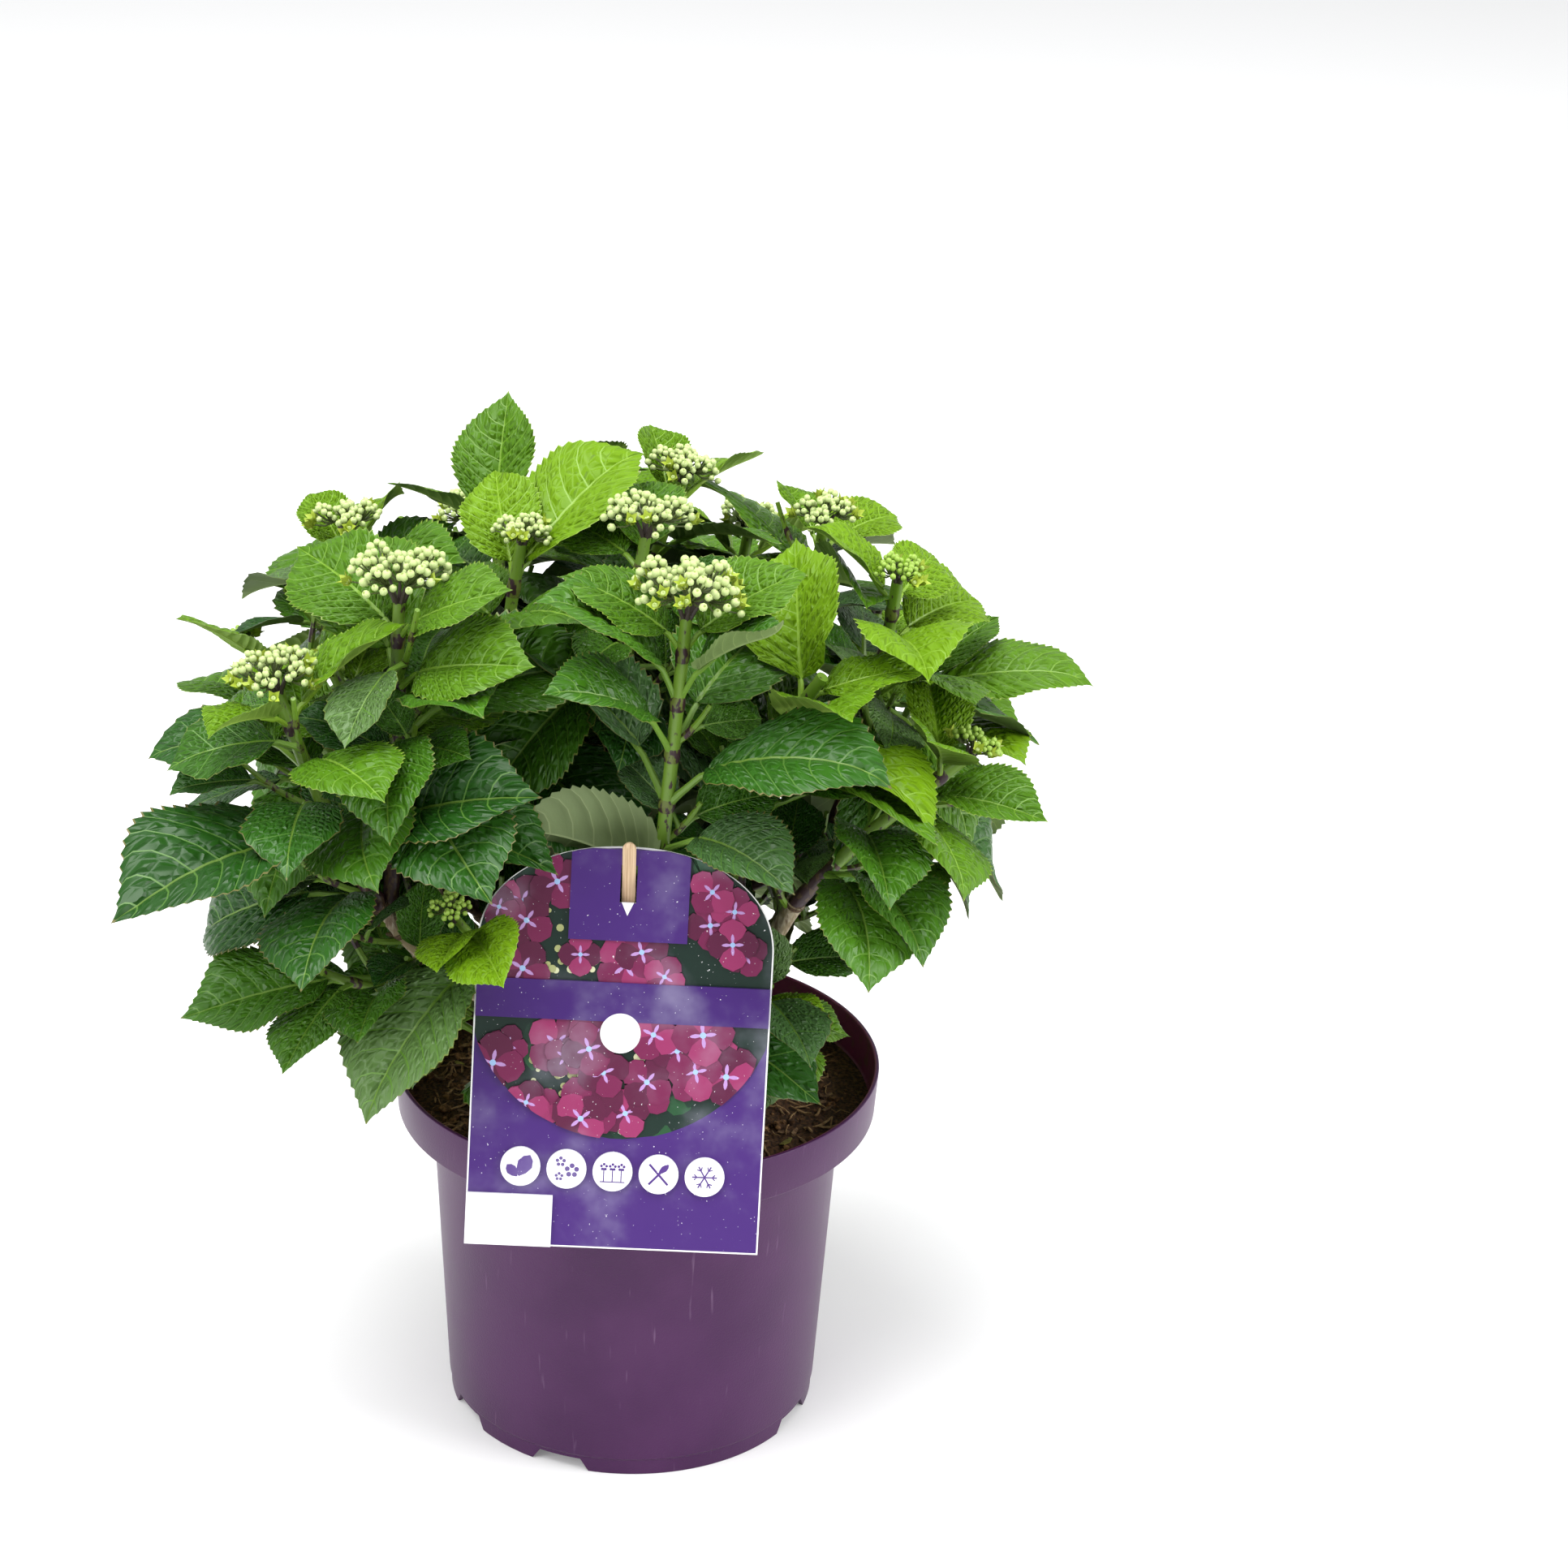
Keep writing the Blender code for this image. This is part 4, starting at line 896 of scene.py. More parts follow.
def dressed(made, finishes, crease):
    """The piece with its finishes in order, smooth and riding on the plant."""
    made.data.materials.clear()
    for finish in finishes:
        made.data.materials.append(finish)
    made.data.shade_smooth()
    made.data.set_sharp_from_angle(angle=math.radians(crease))
    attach(made, "root")
    return made


class Mass:
    """Points and faces gathered under named finishes, then made into one mesh."""

    def __init__(self):
        self.points, self.faces, self.slots, self.names, self.lies = [], [], [], [], []
        self.count = 0

    def slot(self, finish):
        if finish not in self.names:
            self.names.append(finish)
        return self.names.index(finish)

    def add(self, points, faces, finishes, roles=None, lie=None):
        """Adds a closed skin, of one finish, or of the finish that each face's role picks."""
        self.faces += [[self.count + i for i in face] for face in faces]
        if roles is None:
            self.slots += [self.slot(finishes)] * len(faces)
        else:
            picked = [self.slot(name) for name in finishes]
            self.slots += [picked[role] for role in roles]
        self.points.append(np.asarray(points, float).reshape(-1, 3))
        self.lies.append(np.zeros_like(self.points[-1]) if lie is None else lie)
        self.count += len(self.points[-1])

    def make(self, name, finishes, slot, crease=50.0):
        """All of it as one smooth piece."""
        mesh = bpy.data.meshes.new(name)
        mesh.from_pydata(np.concatenate(self.points), [], self.faces)
        made = dressed(linked(name, mesh), [finishes[finish] for finish in self.names], crease)
        mesh.polygons.foreach_set("material_index", self.slots)
        lies = np.concatenate(self.lies)
        if lies.any():
            mesh.attributes.new(BLADE_PLACE, "FLOAT_VECTOR", "POINT").data.foreach_set("vector", lies.ravel())
        return made


def unit(vector):
    return vector / np.linalg.norm(vector)


def tube(path, radii, sides):
    """A closed round skin along a path, with flat ends."""
    path = np.asarray(path, float)
    along = np.gradient(path, axis=0)
    along /= np.linalg.norm(along, axis=1, keepdims=True)
    side = np.cross(along[0], (0.31, 0.87, 0.17))
    points = []
    for centre, way, radius in zip(path, along, radii):
        side = unit(side - way * side.dot(way))
        turn = np.arange(sides) * math.tau / sides
        circle = np.outer(np.cos(turn), side) + np.outer(np.sin(turn), np.cross(way, side))
        points.append(centre + circle * radius)
    return np.concatenate(points), loft_faces(len(path), sides)


# -------------------- fine leaves
BLADE, VEIN, EDGE, UNDERSIDE, UNDER_VEIN, MIDRIB = range(6)
VEIN_FIRST, VEIN_LAST = 0.27, 0.93  # where the lowest and highest side veins meet the edge
VEIN_CROWDING = 0.88
VEIN_RISE = 1.6  # how late the side veins leave the midrib
VEIN_START = 0.22
VEIN_CURVE = 1.3
VEIN_HALF_WIDTH = 0.0048  # of the blade's length
MIDRIB_SHARE = 0.03  # of the half width
EDGE_SHARE = 0.98
CELLS_ALONG, CELLS_OUT = 14.0, 21.0  # quilted cells from the lowest side vein to the highest, and outwards
BLADE_PLACE = "blade_place"
MIDRIB_FOOT, MIDRIB_TIP = 0.0115, 0.0022  # half the midrib's width at either end, of the blade's length
DRAWN_TIP, DRAWN_LATE = 0.52, 8  # how much the outline draws in towards the point, and how near it
SHOULDER, SHOULDER_AT, SHOULDER_REACH = 0.36, 0.72, 0.24  # the blade keeps its width for longer
FULLNESS = 1.08  # a grown blade's width over the plain leaf's
TOOTH_FROM = 0.8  # a tooth starts to stand out here, as a share of the half width
TOOTH_LENGTH = 0.025
TOOTH_LEAN = 0.36  # of the space between teeth, towards the tip
PILLOW = 0.019  # how far the skin swells between side veins, of the blade's length
VEIN_SINK = 0.0015
CRINKLE = 0.0009
BULGE = 0.06
BLADE_THICKNESS = 0.0036
MIDRIB_RIDGE, VEIN_RIDGE = 0.011, 0.0035
LAST_ROW = 0.985
CARD_ROOM = 0.0012
MIDRIB_CREEP = 0.06  # of the edge's way from the foot, for places on the midrib under the lowest vein
WAVES, WAVE_SHIFT, WAVE_LATE = 2.2, 0.37, 2.5  # waves of the edge, how the sides differ, how near the edge
PILLOW_OUT, PILLOW_FADE = 0.7, 0.3  # the swelling's shape across the blade and towards its tip
NEAR_ENDS = 0.0005
CURL_FROM = 0.62
ARC_STEPS = 64
ROLLED_BY = 0.15
FIRST_ROW, FOOT_CROWDING = 0.002, 1.25
FIRST_TOOTH = 2
TIP_ROWS = 4
BELOW_VEINS = -0.3  # how many veins' spacing the cells run on below the lowest one
CARD_PRESS = 0.02  # what is left of a leaf's depth where the card presses it flat
STALK_GIRTH, LEAST_GIRTH = 0.00135, 0.55
STALK_PATH = (0.0, 0.14, 0.35, 0.6, 0.85)
STALK_UNDER = (0.02, 0.06, 0.12, 0.2)  # where it sinks into the midrib, along the blade
STALK_PROFILE = (1.5, 1.35, 1.05, 0.95, 0.92, 0.88, 0.75, 0.6, 0.35)


class Pattern:
    """How a blade is divided: rows that follow the side veins, columns across, a role for each face."""

    def __init__(self, veins, teeth, columns):
        share = np.linspace(0.0, 1.0, veins)
        meets = VEIN_FIRST + (VEIN_LAST - VEIN_FIRST) * share**VEIN_CROWDING
        rows = []  # edge place, which side of a vein, tooth, place between two veins, tooth spacing
        base_rows = 2 * teeth + 2
        for i in range(base_rows):
            part = i / base_rows
            tooth = float(i > FIRST_TOOTH and i % 2)
            place = FIRST_ROW + (VEIN_FIRST - FIRST_ROW) * part**FOOT_CROWDING
            rows.append((place, 0, tooth, part, VEIN_FIRST / base_rows * 2))
        for low, high in zip(meets, [*meets[1:], LAST_ROW]):
            rows += [(low, beside, 0.0, 0.0, 0.0) for beside in (-1, 1)]
            steps = 2 * teeth if high < LAST_ROW else TIP_ROWS
            for j in range(1, steps):
                tooth = float(j % 2 and high < LAST_ROW)
                rows.append((low + (high - low) * j / steps, 0, tooth, j / steps, (high - low) / steps * 2))
        rows.append((LAST_ROW, 0, 0.0, 0.0, 0.0))
        self.edge, self.beside, self.tooth, self.part, self.pitch = (
            np.array(column)[:, None] for column in zip(*rows)
        )
        quilted = np.linspace(0.0, TOOTH_FROM, columns)[1:]
        half = np.concatenate([[0.0, MIDRIB_SHARE], quilted, [EDGE_SHARE, 1.0]])
        self.w = np.concatenate([-half[:0:-1], half])[None, :]
        self.gap = np.interp(self.edge, [0.0, *meets], [BELOW_VEINS, *share])
        self.find_faces(len(rows), self.w.size)

    def find_faces(self, rows, wide):
        top = np.arange(rows * wide).reshape(rows, wide)
        under = top.copy()
        under[:, 1:-1] = rows * wide + np.arange(rows * (wide - 2)).reshape(rows, wide - 2)
        tip = rows * wide + rows * (wide - 2)
        reach = np.abs(self.w[0])
        faces, roles = [], []
        for i in range(rows - 1):
            strip = self.beside[i, 0] == -1
            for j in range(wide - 1):
                outer = max(reach[j], reach[j + 1])
                rib = outer <= MIDRIB_SHARE
                vein = rib or (strip and outer <= EDGE_SHARE)
                faces.append([top[i, j], top[i, j + 1], top[i + 1, j + 1], top[i + 1, j]])
                roles.append(MIDRIB if rib else VEIN if vein else EDGE if outer > EDGE_SHARE else BLADE)
                faces.append([under[i, j], under[i + 1, j], under[i + 1, j + 1], under[i, j + 1]])
                roles.append(UNDER_VEIN if vein else UNDERSIDE)
        for j in range(wide - 1):
            foot = [top[0, j], under[0, j], under[0, j + 1], top[0, j + 1]]
            faces += [list(dict.fromkeys(foot)), [top[-1, j], top[-1, j + 1], tip]]
            faces.append([under[-1, j + 1], under[-1, j], tip])
            roles += [UNDERSIDE, EDGE, UNDERSIDE]
        self.faces = [[int(i) for i in face] for face in faces]
        self.roles = roles


# A blade's own bearing: how its tip curls and sways, how it twists, folds and waves, how far it is rolled
# over, swung and sunk about its root and slid down the stem, and the share of its stalk that it keeps.
Habit = namedtuple(
    "Habit", "curl sway twist fold wave phase roll swing sink slide stalk", defaults=(0.0, 0.0, 0.0, 0.0, 1.0)
)
BEARINGS = {
    ("shoot_centre", 4, 0): {
        "curl": 0.0, "twist": 0.0, "fold": 0.12, "roll": math.radians(-95), "swing": math.radians(-36),
        "sink": math.radians(5), "slide": 0.019, "stalk": 0.35,
    },
    ("shoot_left_middle", 3, 0): {"swing": math.radians(-32), "sink": math.radians(8)},
    ("shoot_centre", 1, 1): {"curl": math.radians(-75), "fold": 0.5, "twist": 0.5},
    ("shoot_front_right", 0, 0): {"roll": math.radians(50), "fold": 0.45},
    ("shoot_left_front", 3, 0): {"curl": math.radians(-12), "fold": 0.30, "twist": 0.2},
}


def leaf_habit(draw, own):
    """The small ways in which one leaf differs from the next."""
    usual = Habit(
        curl=math.radians(draw.uniform(-16, 34)),
        sway=draw.uniform(-0.08, 0.08),
        twist=math.radians(draw.uniform(-20, 20)),
        fold=math.radians(draw.uniform(3, 28)),
        wave=draw.uniform(0.008, 0.032),
        phase=draw.uniform(0, 1),
    )
    return usual._replace(**own)


def moved(leaf, habit):
    """The leaf, swung about its root, sunk and slid down its stem as far as its habit has it."""
    turn = Matrix.Rotation(habit.swing, 3, "Z") @ Matrix.Rotation(-habit.sink, 3, leaf.across)
    root = leaf.root - UP * habit.slide
    base = root + turn @ (leaf.base - leaf.root) * habit.stalk
    return leaf._replace(root=root, base=base, heading=turn @ leaf.heading, across=turn @ leaf.across)


def blade_arc(leaf, habit):
    """The function that sets places of a blade (along it, aside, in height) on the leaf's own arc."""
    steps = np.linspace(0.0, 1.0, ARC_STEPS + 1)
    curl = habit.curl * np.clip((steps - CURL_FROM) / (1 - CURL_FROM), 0, 1) ** 2
    bends = leaf.bend * steps + curl
    middle_bends = (bends[1:] + bends[:-1]) / 2
    ahead = np.concatenate([[0.0], np.cumsum(np.cos(middle_bends))]) / ARC_STEPS
    down = np.concatenate([[0.0], np.cumsum(np.sin(middle_bends))]) / ARC_STEPS
    heading, across = np.array(leaf.heading), np.array(leaf.across)
    normal = np.cross(across, heading)

    def place(s, side, height):
        angle = np.interp(s, steps, bends)[..., None]
        forward, drop = np.interp(s, steps, ahead)[..., None], np.interp(s, steps, down)[..., None]
        up = np.cos(angle) * normal + np.sin(angle) * heading
        turn = (habit.twist * s + habit.roll * np.minimum(s / ROLLED_BY, 1.0))[..., None]
        lateral = np.cos(turn) * across + np.sin(turn) * up
        upper = np.cos(turn) * up - np.sin(turn) * across
        middle = np.array(leaf.base) + leaf.length * (forward * heading - drop * normal)
        middle = middle + across * (habit.sway * leaf.length * s * s)[..., None]
        return middle + lateral * side[..., None] + upper * height[..., None]

    return place


def blade_relief(length, pattern, habit, draw):
    """Where each point of a flat blade lies along it and aside, its height and the blade's half width."""
    w, reach, beside, tooth = pattern.w, np.abs(pattern.w), pattern.beside, pattern.tooth
    over_vein = np.clip((pattern.edge - VEIN_START) / (1 - VEIN_START), 0, 1) ** VEIN_RISE
    mid = MIDRIB_CREEP * pattern.edge + (1 - MIDRIB_CREEP) * over_vein
    outer = np.clip((reach - TOOTH_FROM) / (EDGE_SHARE - TOOTH_FROM), 0, 1)
    s = mid + (pattern.edge - mid) * reach**VEIN_CURVE
    s = s + beside * VEIN_HALF_WIDTH * (1 - 0.5 * reach) + tooth * pattern.pitch * TOOTH_LEAN * outer
    s = np.clip(s, NEAR_ENDS, 1 - NEAR_ENDS)

    wide = half_width(length, s)
    tooth_out = TOOTH_LENGTH * length * np.sqrt(4 * s * (1 - s)) * tooth * outer
    shoulder = 1 + SHOULDER * np.exp(-(((s - SHOULDER_AT) / SHOULDER_REACH) ** 2))
    wide = wide * FULLNESS * shoulder * (1 - DRAWN_TIP * s**DRAWN_LATE)
    flat = w * wide + np.sign(w) * tooth_out
    rib = np.minimum(length * (MIDRIB_FOOT * (1 - s) + MIDRIB_TIP), 0.5 * wide)
    flat = np.where(reach == MIDRIB_SHARE, np.sign(w) * rib, flat)

    pillow = np.sin(math.pi * pattern.part) * np.sin(math.pi * reach**PILLOW_OUT) * (1 - s) ** PILLOW_FADE
    sink = (np.abs(beside) > 0) | (reach <= MIDRIB_SHARE)
    rough = np.random.default_rng(draw.getrandbits(32)).normal(size=s.shape)
    rough *= CRINKLE * length * (1 - outer) * ~sink * np.sqrt(wide / length)
    swell = np.sin(math.tau * (WAVES * s + habit.phase + WAVE_SHIFT * (w > 0)))
    waves = habit.wave * length * swell * reach**WAVE_LATE
    height = np.abs(flat) * math.sin(habit.fold) + BULGE * wide * 4 * reach * (1 - reach)
    height += PILLOW * length * pillow - VEIN_SINK * length * sink + rough + waves * np.sqrt(4 * s * (1 - s))
    return s, flat * math.cos(habit.fold), height, wide


def fine_blade(leaf, pattern, habit, draw):
    """A closed, toothed and quilted blade: its points, the way to set more of them, its veinlets' places."""
    s, side, height, wide = blade_relief(leaf.length, pattern, habit, draw)
    place, reach = blade_arc(leaf, habit), np.abs(pattern.w)
    top = place(s, side, height)
    ridge = MIDRIB_RIDGE * (1 - 0.75 * s) * (reach < 0.5 * MIDRIB_SHARE)
    ridge += VEIN_RIDGE * (np.abs(pattern.beside) > 0) * (1 - reach) * (reach > MIDRIB_SHARE)
    under = place(s, side, height - leaf.length * (BLADE_THICKNESS * (1 - reach**6) + ridge))
    tip = place(np.array([1.0]), np.array([0.0]), np.array([0.0]))
    lie = (pattern.gap * CELLS_ALONG, pattern.w * wide / leaf.length * CELLS_OUT, 100 * habit.phase)
    lie = np.stack(np.broadcast_arrays(*lie), axis=-1)
    lie = np.concatenate([lie.reshape(-1, 3), lie[:, 1:-1].reshape(-1, 3), lie[-1, :1]])
    return np.concatenate([top.reshape(-1, 3), under[:, 1:-1].reshape(-1, 3), tip]), place, lie


def behind_card(points):
    """The points, pressed back where a leaf that grows behind the card would reach through it."""
    place = np.array(tag_place())
    local = (points - place[:3, 3]) @ place[:3, :3]
    outline = np.array(tag_outline(-CARD_ROOM)[1 : TAG_ARCH_STEPS // 2 + 2])
    reach = np.interp(local[:, 1], outline[:, 1], outline[:, 0], left=TAG_WIDTH / 2 + CARD_ROOM, right=0.0)
    over = (np.abs(local[:, 0]) < reach) & (local[:, 1] > -CARD_ROOM)
    if not over.any() or np.median(local[over, 2]) > 0:
        return points
    through = over & (local[:, 2] > -CARD_ROOM)
    local[through, 2] = (local[through, 2] + CARD_ROOM) * CARD_PRESS - CARD_ROOM
    return local @ place[:3, :3].T + place[:3, 3]


def stalk_tube(leaf, place):
    """The stalk, from the stem to a little way under the blade, where it sinks into the midrib."""
    girth = STALK_GIRTH * (LEAST_GIRTH + (1 - LEAST_GIRTH) * leaf.length / WHOLE_LEAF)
    root, base = np.array(leaf.root), np.array(leaf.base)
    path = root + (base - root) * np.array(STALK_PATH)[:, None]
    into = np.array(STALK_UNDER)
    path = np.concatenate([path, place(into, 0 * into, -girth * (0.9 - 1.5 * into))])
    return tube(path, girth * np.array(STALK_PROFILE), 7)


def add_leaf(mass, leaf, pattern, age, draw, **own):
    """Dresses one leaf: its blade with veins, edge and underside, and its stalk."""
    habit = leaf_habit(draw, own)
    leaf = moved(leaf, habit)
    parts = (f"blade_{draw.randrange(len(BLADES[age]))}", "vein", "edge", "underside", "under_vein", "stalk")
    points, place, lie = fine_blade(leaf, pattern, habit, draw)
    mass.add(behind_card(points), pattern.faces, [f"{age}_{part}" for part in parts], pattern.roles, lie)
    mass.add(*stalk_tube(leaf, place), f"{age}_stalk")


# -------------------- stems and buds
NODE_FLUSH = 0.0024  # how far the purple of a leaf pair runs along the stem
NODE_RISE, NODE_REACH = 0.22, 0.0022
STEM_STEP, LEAST_STEPS = 0.003, 6
STEM_SUNK = 0.002
BUD_SIDES = 8
BUD_LEVELS = (-0.6, 0.0, 0.6, 0.94)
BUD_SEAM, BUD_LONG, BUD_TOP = 0.90, 1.08, 0.86
SEPAL_SECTIONS = ((0.0, 0.24), (0.34, 0.50), (0.68, 0.33))  # place along it and half its width
SEPAL_CORNERS = ((-1, 0.10), (0, -0.12), (1, 0.10), (0, -0.04))
SEPAL_LEAN, SEPAL_OPENING, SEPAL_BOW = 0.34, 0.14, 0.12
SEPAL_TIP, SEPAL_TIP_OUT = 1.04, 0.62


def from_nearest(t, places, length):
    """How far a place on a stem is from the nearest of some others, in metres."""
    return min([abs(t - place) * length for place in places] or [1.0])


def add_stem(mass, stem, places, sides, purple_below, girth=1.0):
    """A green stem that swells at its leaf pairs, purple at each of them and towards its foot."""
    marks = set(np.linspace(0.0, 1.0, max(int(stem.length / STEM_STEP), LEAST_STEPS)))
    for place in places:
        marks |= {place + shift * NODE_FLUSH / stem.length for shift in (-1.1, 0, 1.1)}
    marks = sorted(min(max(mark, 0.0), 1.0) for mark in marks)
    path = [stem.point(t) for t in marks]
    path[0] = path[0] - stem.along(0.0) * STEM_SUNK
    radii = []
    for t in marks:
        near = from_nearest(t, places, stem.length)
        radii.append(girth * stem.radius(t) * (1 + NODE_RISE * math.exp(-((near / NODE_REACH) ** 2))))
    points, faces = tube(path, radii, sides)
    roles = [2]
    for low, high in zip(marks, marks[1:]):
        middle = (low + high) / 2
        flushed = from_nearest(middle, places, stem.length) < NODE_FLUSH
        roles += [2 if middle < purple_below else 1 if flushed else 0] * sides
    mass.add(points, faces, ["green_stem", "stem_node", "purple_stem"], [*roles, 0])


def add_bud(mass, centre, axis, radius, finish, draw):
    """A closed bud: a round skin, a little longer than wide, with four faint seams at the top."""
    across = unit(np.cross(axis, (0.3, 0.9, 0.2)))
    up = np.cross(axis, across)
    spin = draw.uniform(0, 1)
    points = [centre - axis * radius]
    for level in BUD_LEVELS:
        round_out = math.sqrt(1 - level * level)
        middle = axis * radius * BUD_LONG * level
        for i, turn in enumerate(turns(BUD_SIDES, spin)):
            wide = radius * round_out * (BUD_SEAM if level > 0.8 and i % 2 else 1.0)
            points.append(centre + wide * way_at(turn, across, up) + middle)
    points.append(centre + axis * radius * (BUD_TOP + draw.uniform(-0.1, 0.1)))
    faces = [[0, 1 + j, 1 + i] for i, j in around(BUD_SIDES)]
    faces += [[1 + corner for corner in face] for face in tip_faces(len(BUD_LEVELS), BUD_SIDES)[1:]]
    mass.add(points, faces, [finish, "bud_tip"], [0] * (len(faces) - BUD_SIDES) + [1] * BUD_SIDES)


def add_sepal(mass, base, out, axis):
    """One lobe of the small pointed cup that a half open floret makes."""
    side = np.cross(axis, out)
    points = []
    for share, wide in SEPAL_SECTIONS:
        lean = SEPAL_LEAN + SEPAL_OPENING * share
        middle = base + SEPAL_LENGTH * share * (axis * (1.0 - SEPAL_BOW * share) + out * lean)
        for across, up in SEPAL_CORNERS:
            points.append(middle + side * across * wide * SEPAL_LENGTH - out * up * SEPAL_LENGTH)
    points.append(base + SEPAL_LENGTH * (axis * SEPAL_TIP + out * SEPAL_TIP_OUT))
    mass.add(points, tip_faces(len(SEPAL_SECTIONS), len(SEPAL_CORNERS)), "sepal")


# Share of half open florets at the edge of a head, where it isn't the usual one.
OPEN_SHARE = {"shoot_centre": 0.6, "shoot_left_front": 0.7, "shoot_left_inner": 0.6, "shoot_low_left": 0.0}
USUAL_OPEN_SHARE = 0.25
BUD_RADIUS_SMALL, BUD_RADIUS_LARGE = 0.0010, 0.0016
SEPAL_LENGTH = 0.0044
SMALL_HEAD, HEAD_GROWTH = 0.012, 0.03  # the head's width from which its buds grow, and over which
WIDE_HEAD = 0.030
GREEN_UNTIL = 0.35
FORK_SHARE = 0.42  # where the rays fork, of a head's depth and of a cluster's way out
CLUSTER_LEAN = 0.55
BUD_SPACING = 1.08
GOLDEN_TURN = 2.39996
HEAD_FALL, CLUSTER_FALL = 0.16, 0.42
BUD_UP, BUD_AWAY, BUD_ASIDE = 0.8, 0.45, 0.6  # what a bud's direction is mixed from
OPEN_FROM = 0.66
WIDE_SPREAD, CLOSE_SPREAD = 0.31, 0.40
FORK_BOW, BUD_BOW, SEPAL_SUNK = 0.0006, 0.002, 0.0016
FORK_GIRTHS, RAY_GIRTHS = (0.0011, 0.0008, 0.0006), (0.0004, 0.00035, 0.0003)


def add_head(buds, rays, shoot, stem, draw):
    """Clusters of buds on rays that spread from the stem's top, with half open florets at the edge."""
    base, axis, across, up = (np.array(v) for v in head_axes(stem))
    half, depth = shoot.bloom / 2, shoot.bloom * HEAD_DEPTH
    crowd = 6 if shoot.bloom > WIDE_HEAD else 4
    clusters = [(0.0, 0.0, 0.0)]
    for i in range(crowd):
        turn = math.tau * (i + draw.uniform(-0.15, 0.15)) / crowd + shoot.turn
        clusters.append((half * draw.uniform(0.60, 0.74), turn, draw.uniform(-0.10, 0.14) * depth))
    spread = half * (WIDE_SPREAD if crowd > 4 else CLOSE_SPREAD)
    for out, turn, higher in clusters:
        way = way_at(turn, across, up)
        fork = base + axis * (depth * FORK_SHARE + HEAD_SINK) + way * out * FORK_SHARE
        rays.add(*tube([base, (base + fork) / 2 + axis * FORK_BOW, fork], FORK_GIRTHS, 6), "dark_ray")
        add_cluster(buds, rays, shoot, (base, axis, way), (out, higher, spread), fork, draw)


def add_cluster(buds, rays, shoot, axes, reach, fork, draw):
    """One domed cluster of a head, bud by bud from its middle outwards."""
    (base, axis, way), (out, higher, spread) = axes, reach
    half, depth = shoot.bloom / 2, shoot.bloom * HEAD_DEPTH
    grown = min(max((shoot.bloom - SMALL_HEAD) / HEAD_GROWTH, 0.0), 1.0)
    radius = BUD_RADIUS_SMALL + (BUD_RADIUS_LARGE - BUD_RADIUS_SMALL) * grown
    finish = "green_bud" if grown < GREEN_UNTIL else "pale_bud"
    lean = unit(axis + way * (CLUSTER_LEAN if out else 0.0))
    side = unit(np.cross(lean, (0.2, 0.3, 0.9)))
    front = np.cross(lean, side)
    count = max(round((spread / (radius * BUD_SPACING)) ** 2), 6)
    for i in range(count):
        r = spread * math.sqrt((i + 0.5) / count)
        angle = GOLDEN_TURN * i + draw.uniform(-0.2, 0.2)
        lateral = way_at(angle, side, front)
        rise = depth * (1.0 - HEAD_FALL * (out / half) - CLUSTER_FALL * (r / spread) ** 2)
        rise = rise + draw.uniform(-0.0008, 0.0008) + higher
        centre = base + way * out + axis * (rise + HEAD_SINK) + lateral * r
        heading = unit(axis * BUD_UP + way * BUD_AWAY * (out / half) + lateral * BUD_ASIDE * r / spread)
        knee = fork * 0.4 + centre * 0.6 - heading * BUD_BOW
        rays.add(*tube([fork, knee, centre], RAY_GIRTHS, 4), "bud_ray")
        outmost = out and r / spread > OPEN_FROM and lateral.dot(way) > -0.2
        if outmost and draw.random() < OPEN_SHARE.get(shoot.name, USUAL_OPEN_SHARE):
            add_floret(buds, centre, heading, side, angle)
            add_bud(buds, centre, heading, radius * 0.8, "pale_bud", draw)
        else:
            add_bud(buds, centre, heading, radius * draw.uniform(0.82, 1.08), finish, draw)


def add_floret(buds, centre, heading, side, angle):
    """The cup of four sepals round a half open bud."""
    sideways = unit(np.cross(heading, side))
    for quarter in range(4):
        out = way_at(math.tau * (quarter / 4) + angle, sideways, np.cross(heading, sideways))
        add_sepal(buds, centre - heading * SEPAL_SUNK, out, heading)


# -------------------- dressing the plant
FINE = Pattern(veins=8, teeth=2, columns=4)
PLAIN = Pattern(veins=4, teeth=2, columns=2)
USUAL_AGES = ("young", "fresh", "grown", "old", "old", "old")
AGES = {
    "shoot_centre": ("fresh", "grown", "grown", "old", "old"),
    "shoot_left_middle": ("fresh", "fresh", "grown", "old", "old"),
    "shoot_top": ("fresh", "grown", "grown", "old", "old"),
    "shoot_upper": ("fresh", "grown", "grown", "old", "old"),
    # The right-hand shoots keep young, bright tints further down. This is partly their own youth and partly
    # painted light, standing in for the stronger light from the right and its glow through the leaves.
    "shoot_front_right": ("young", "young", "fresh", "grown", "old"),
    "shoot_right_front": ("young", "fresh", "grown", "grown", "old"),
    "shoot_right_middle": ("young", "young", "fresh", "grown", "old"),
    "shoot_right_small": ("fresh", "young", "fresh", "grown", "old"),
    "shoot_low_left": ("young", "grown", "old"),
    "shoot_skirt_left": ("grown", "grown"),
}


def add_leaves(mass, shoot, found, pattern, ages=None):
    """The leaves of one shoot. Those of a twig, which has no ages of its own, are grown or old."""
    for pair, side, leaf in found:
        draw = random.Random(f"looks {shoot.name} {pair} {side}")
        age = ages[pair] if ages else draw.choice(("grown", "old"))
        add_leaf(mass, leaf, pattern, age, draw, **BEARINGS.get((shoot.name, pair, side), {}))


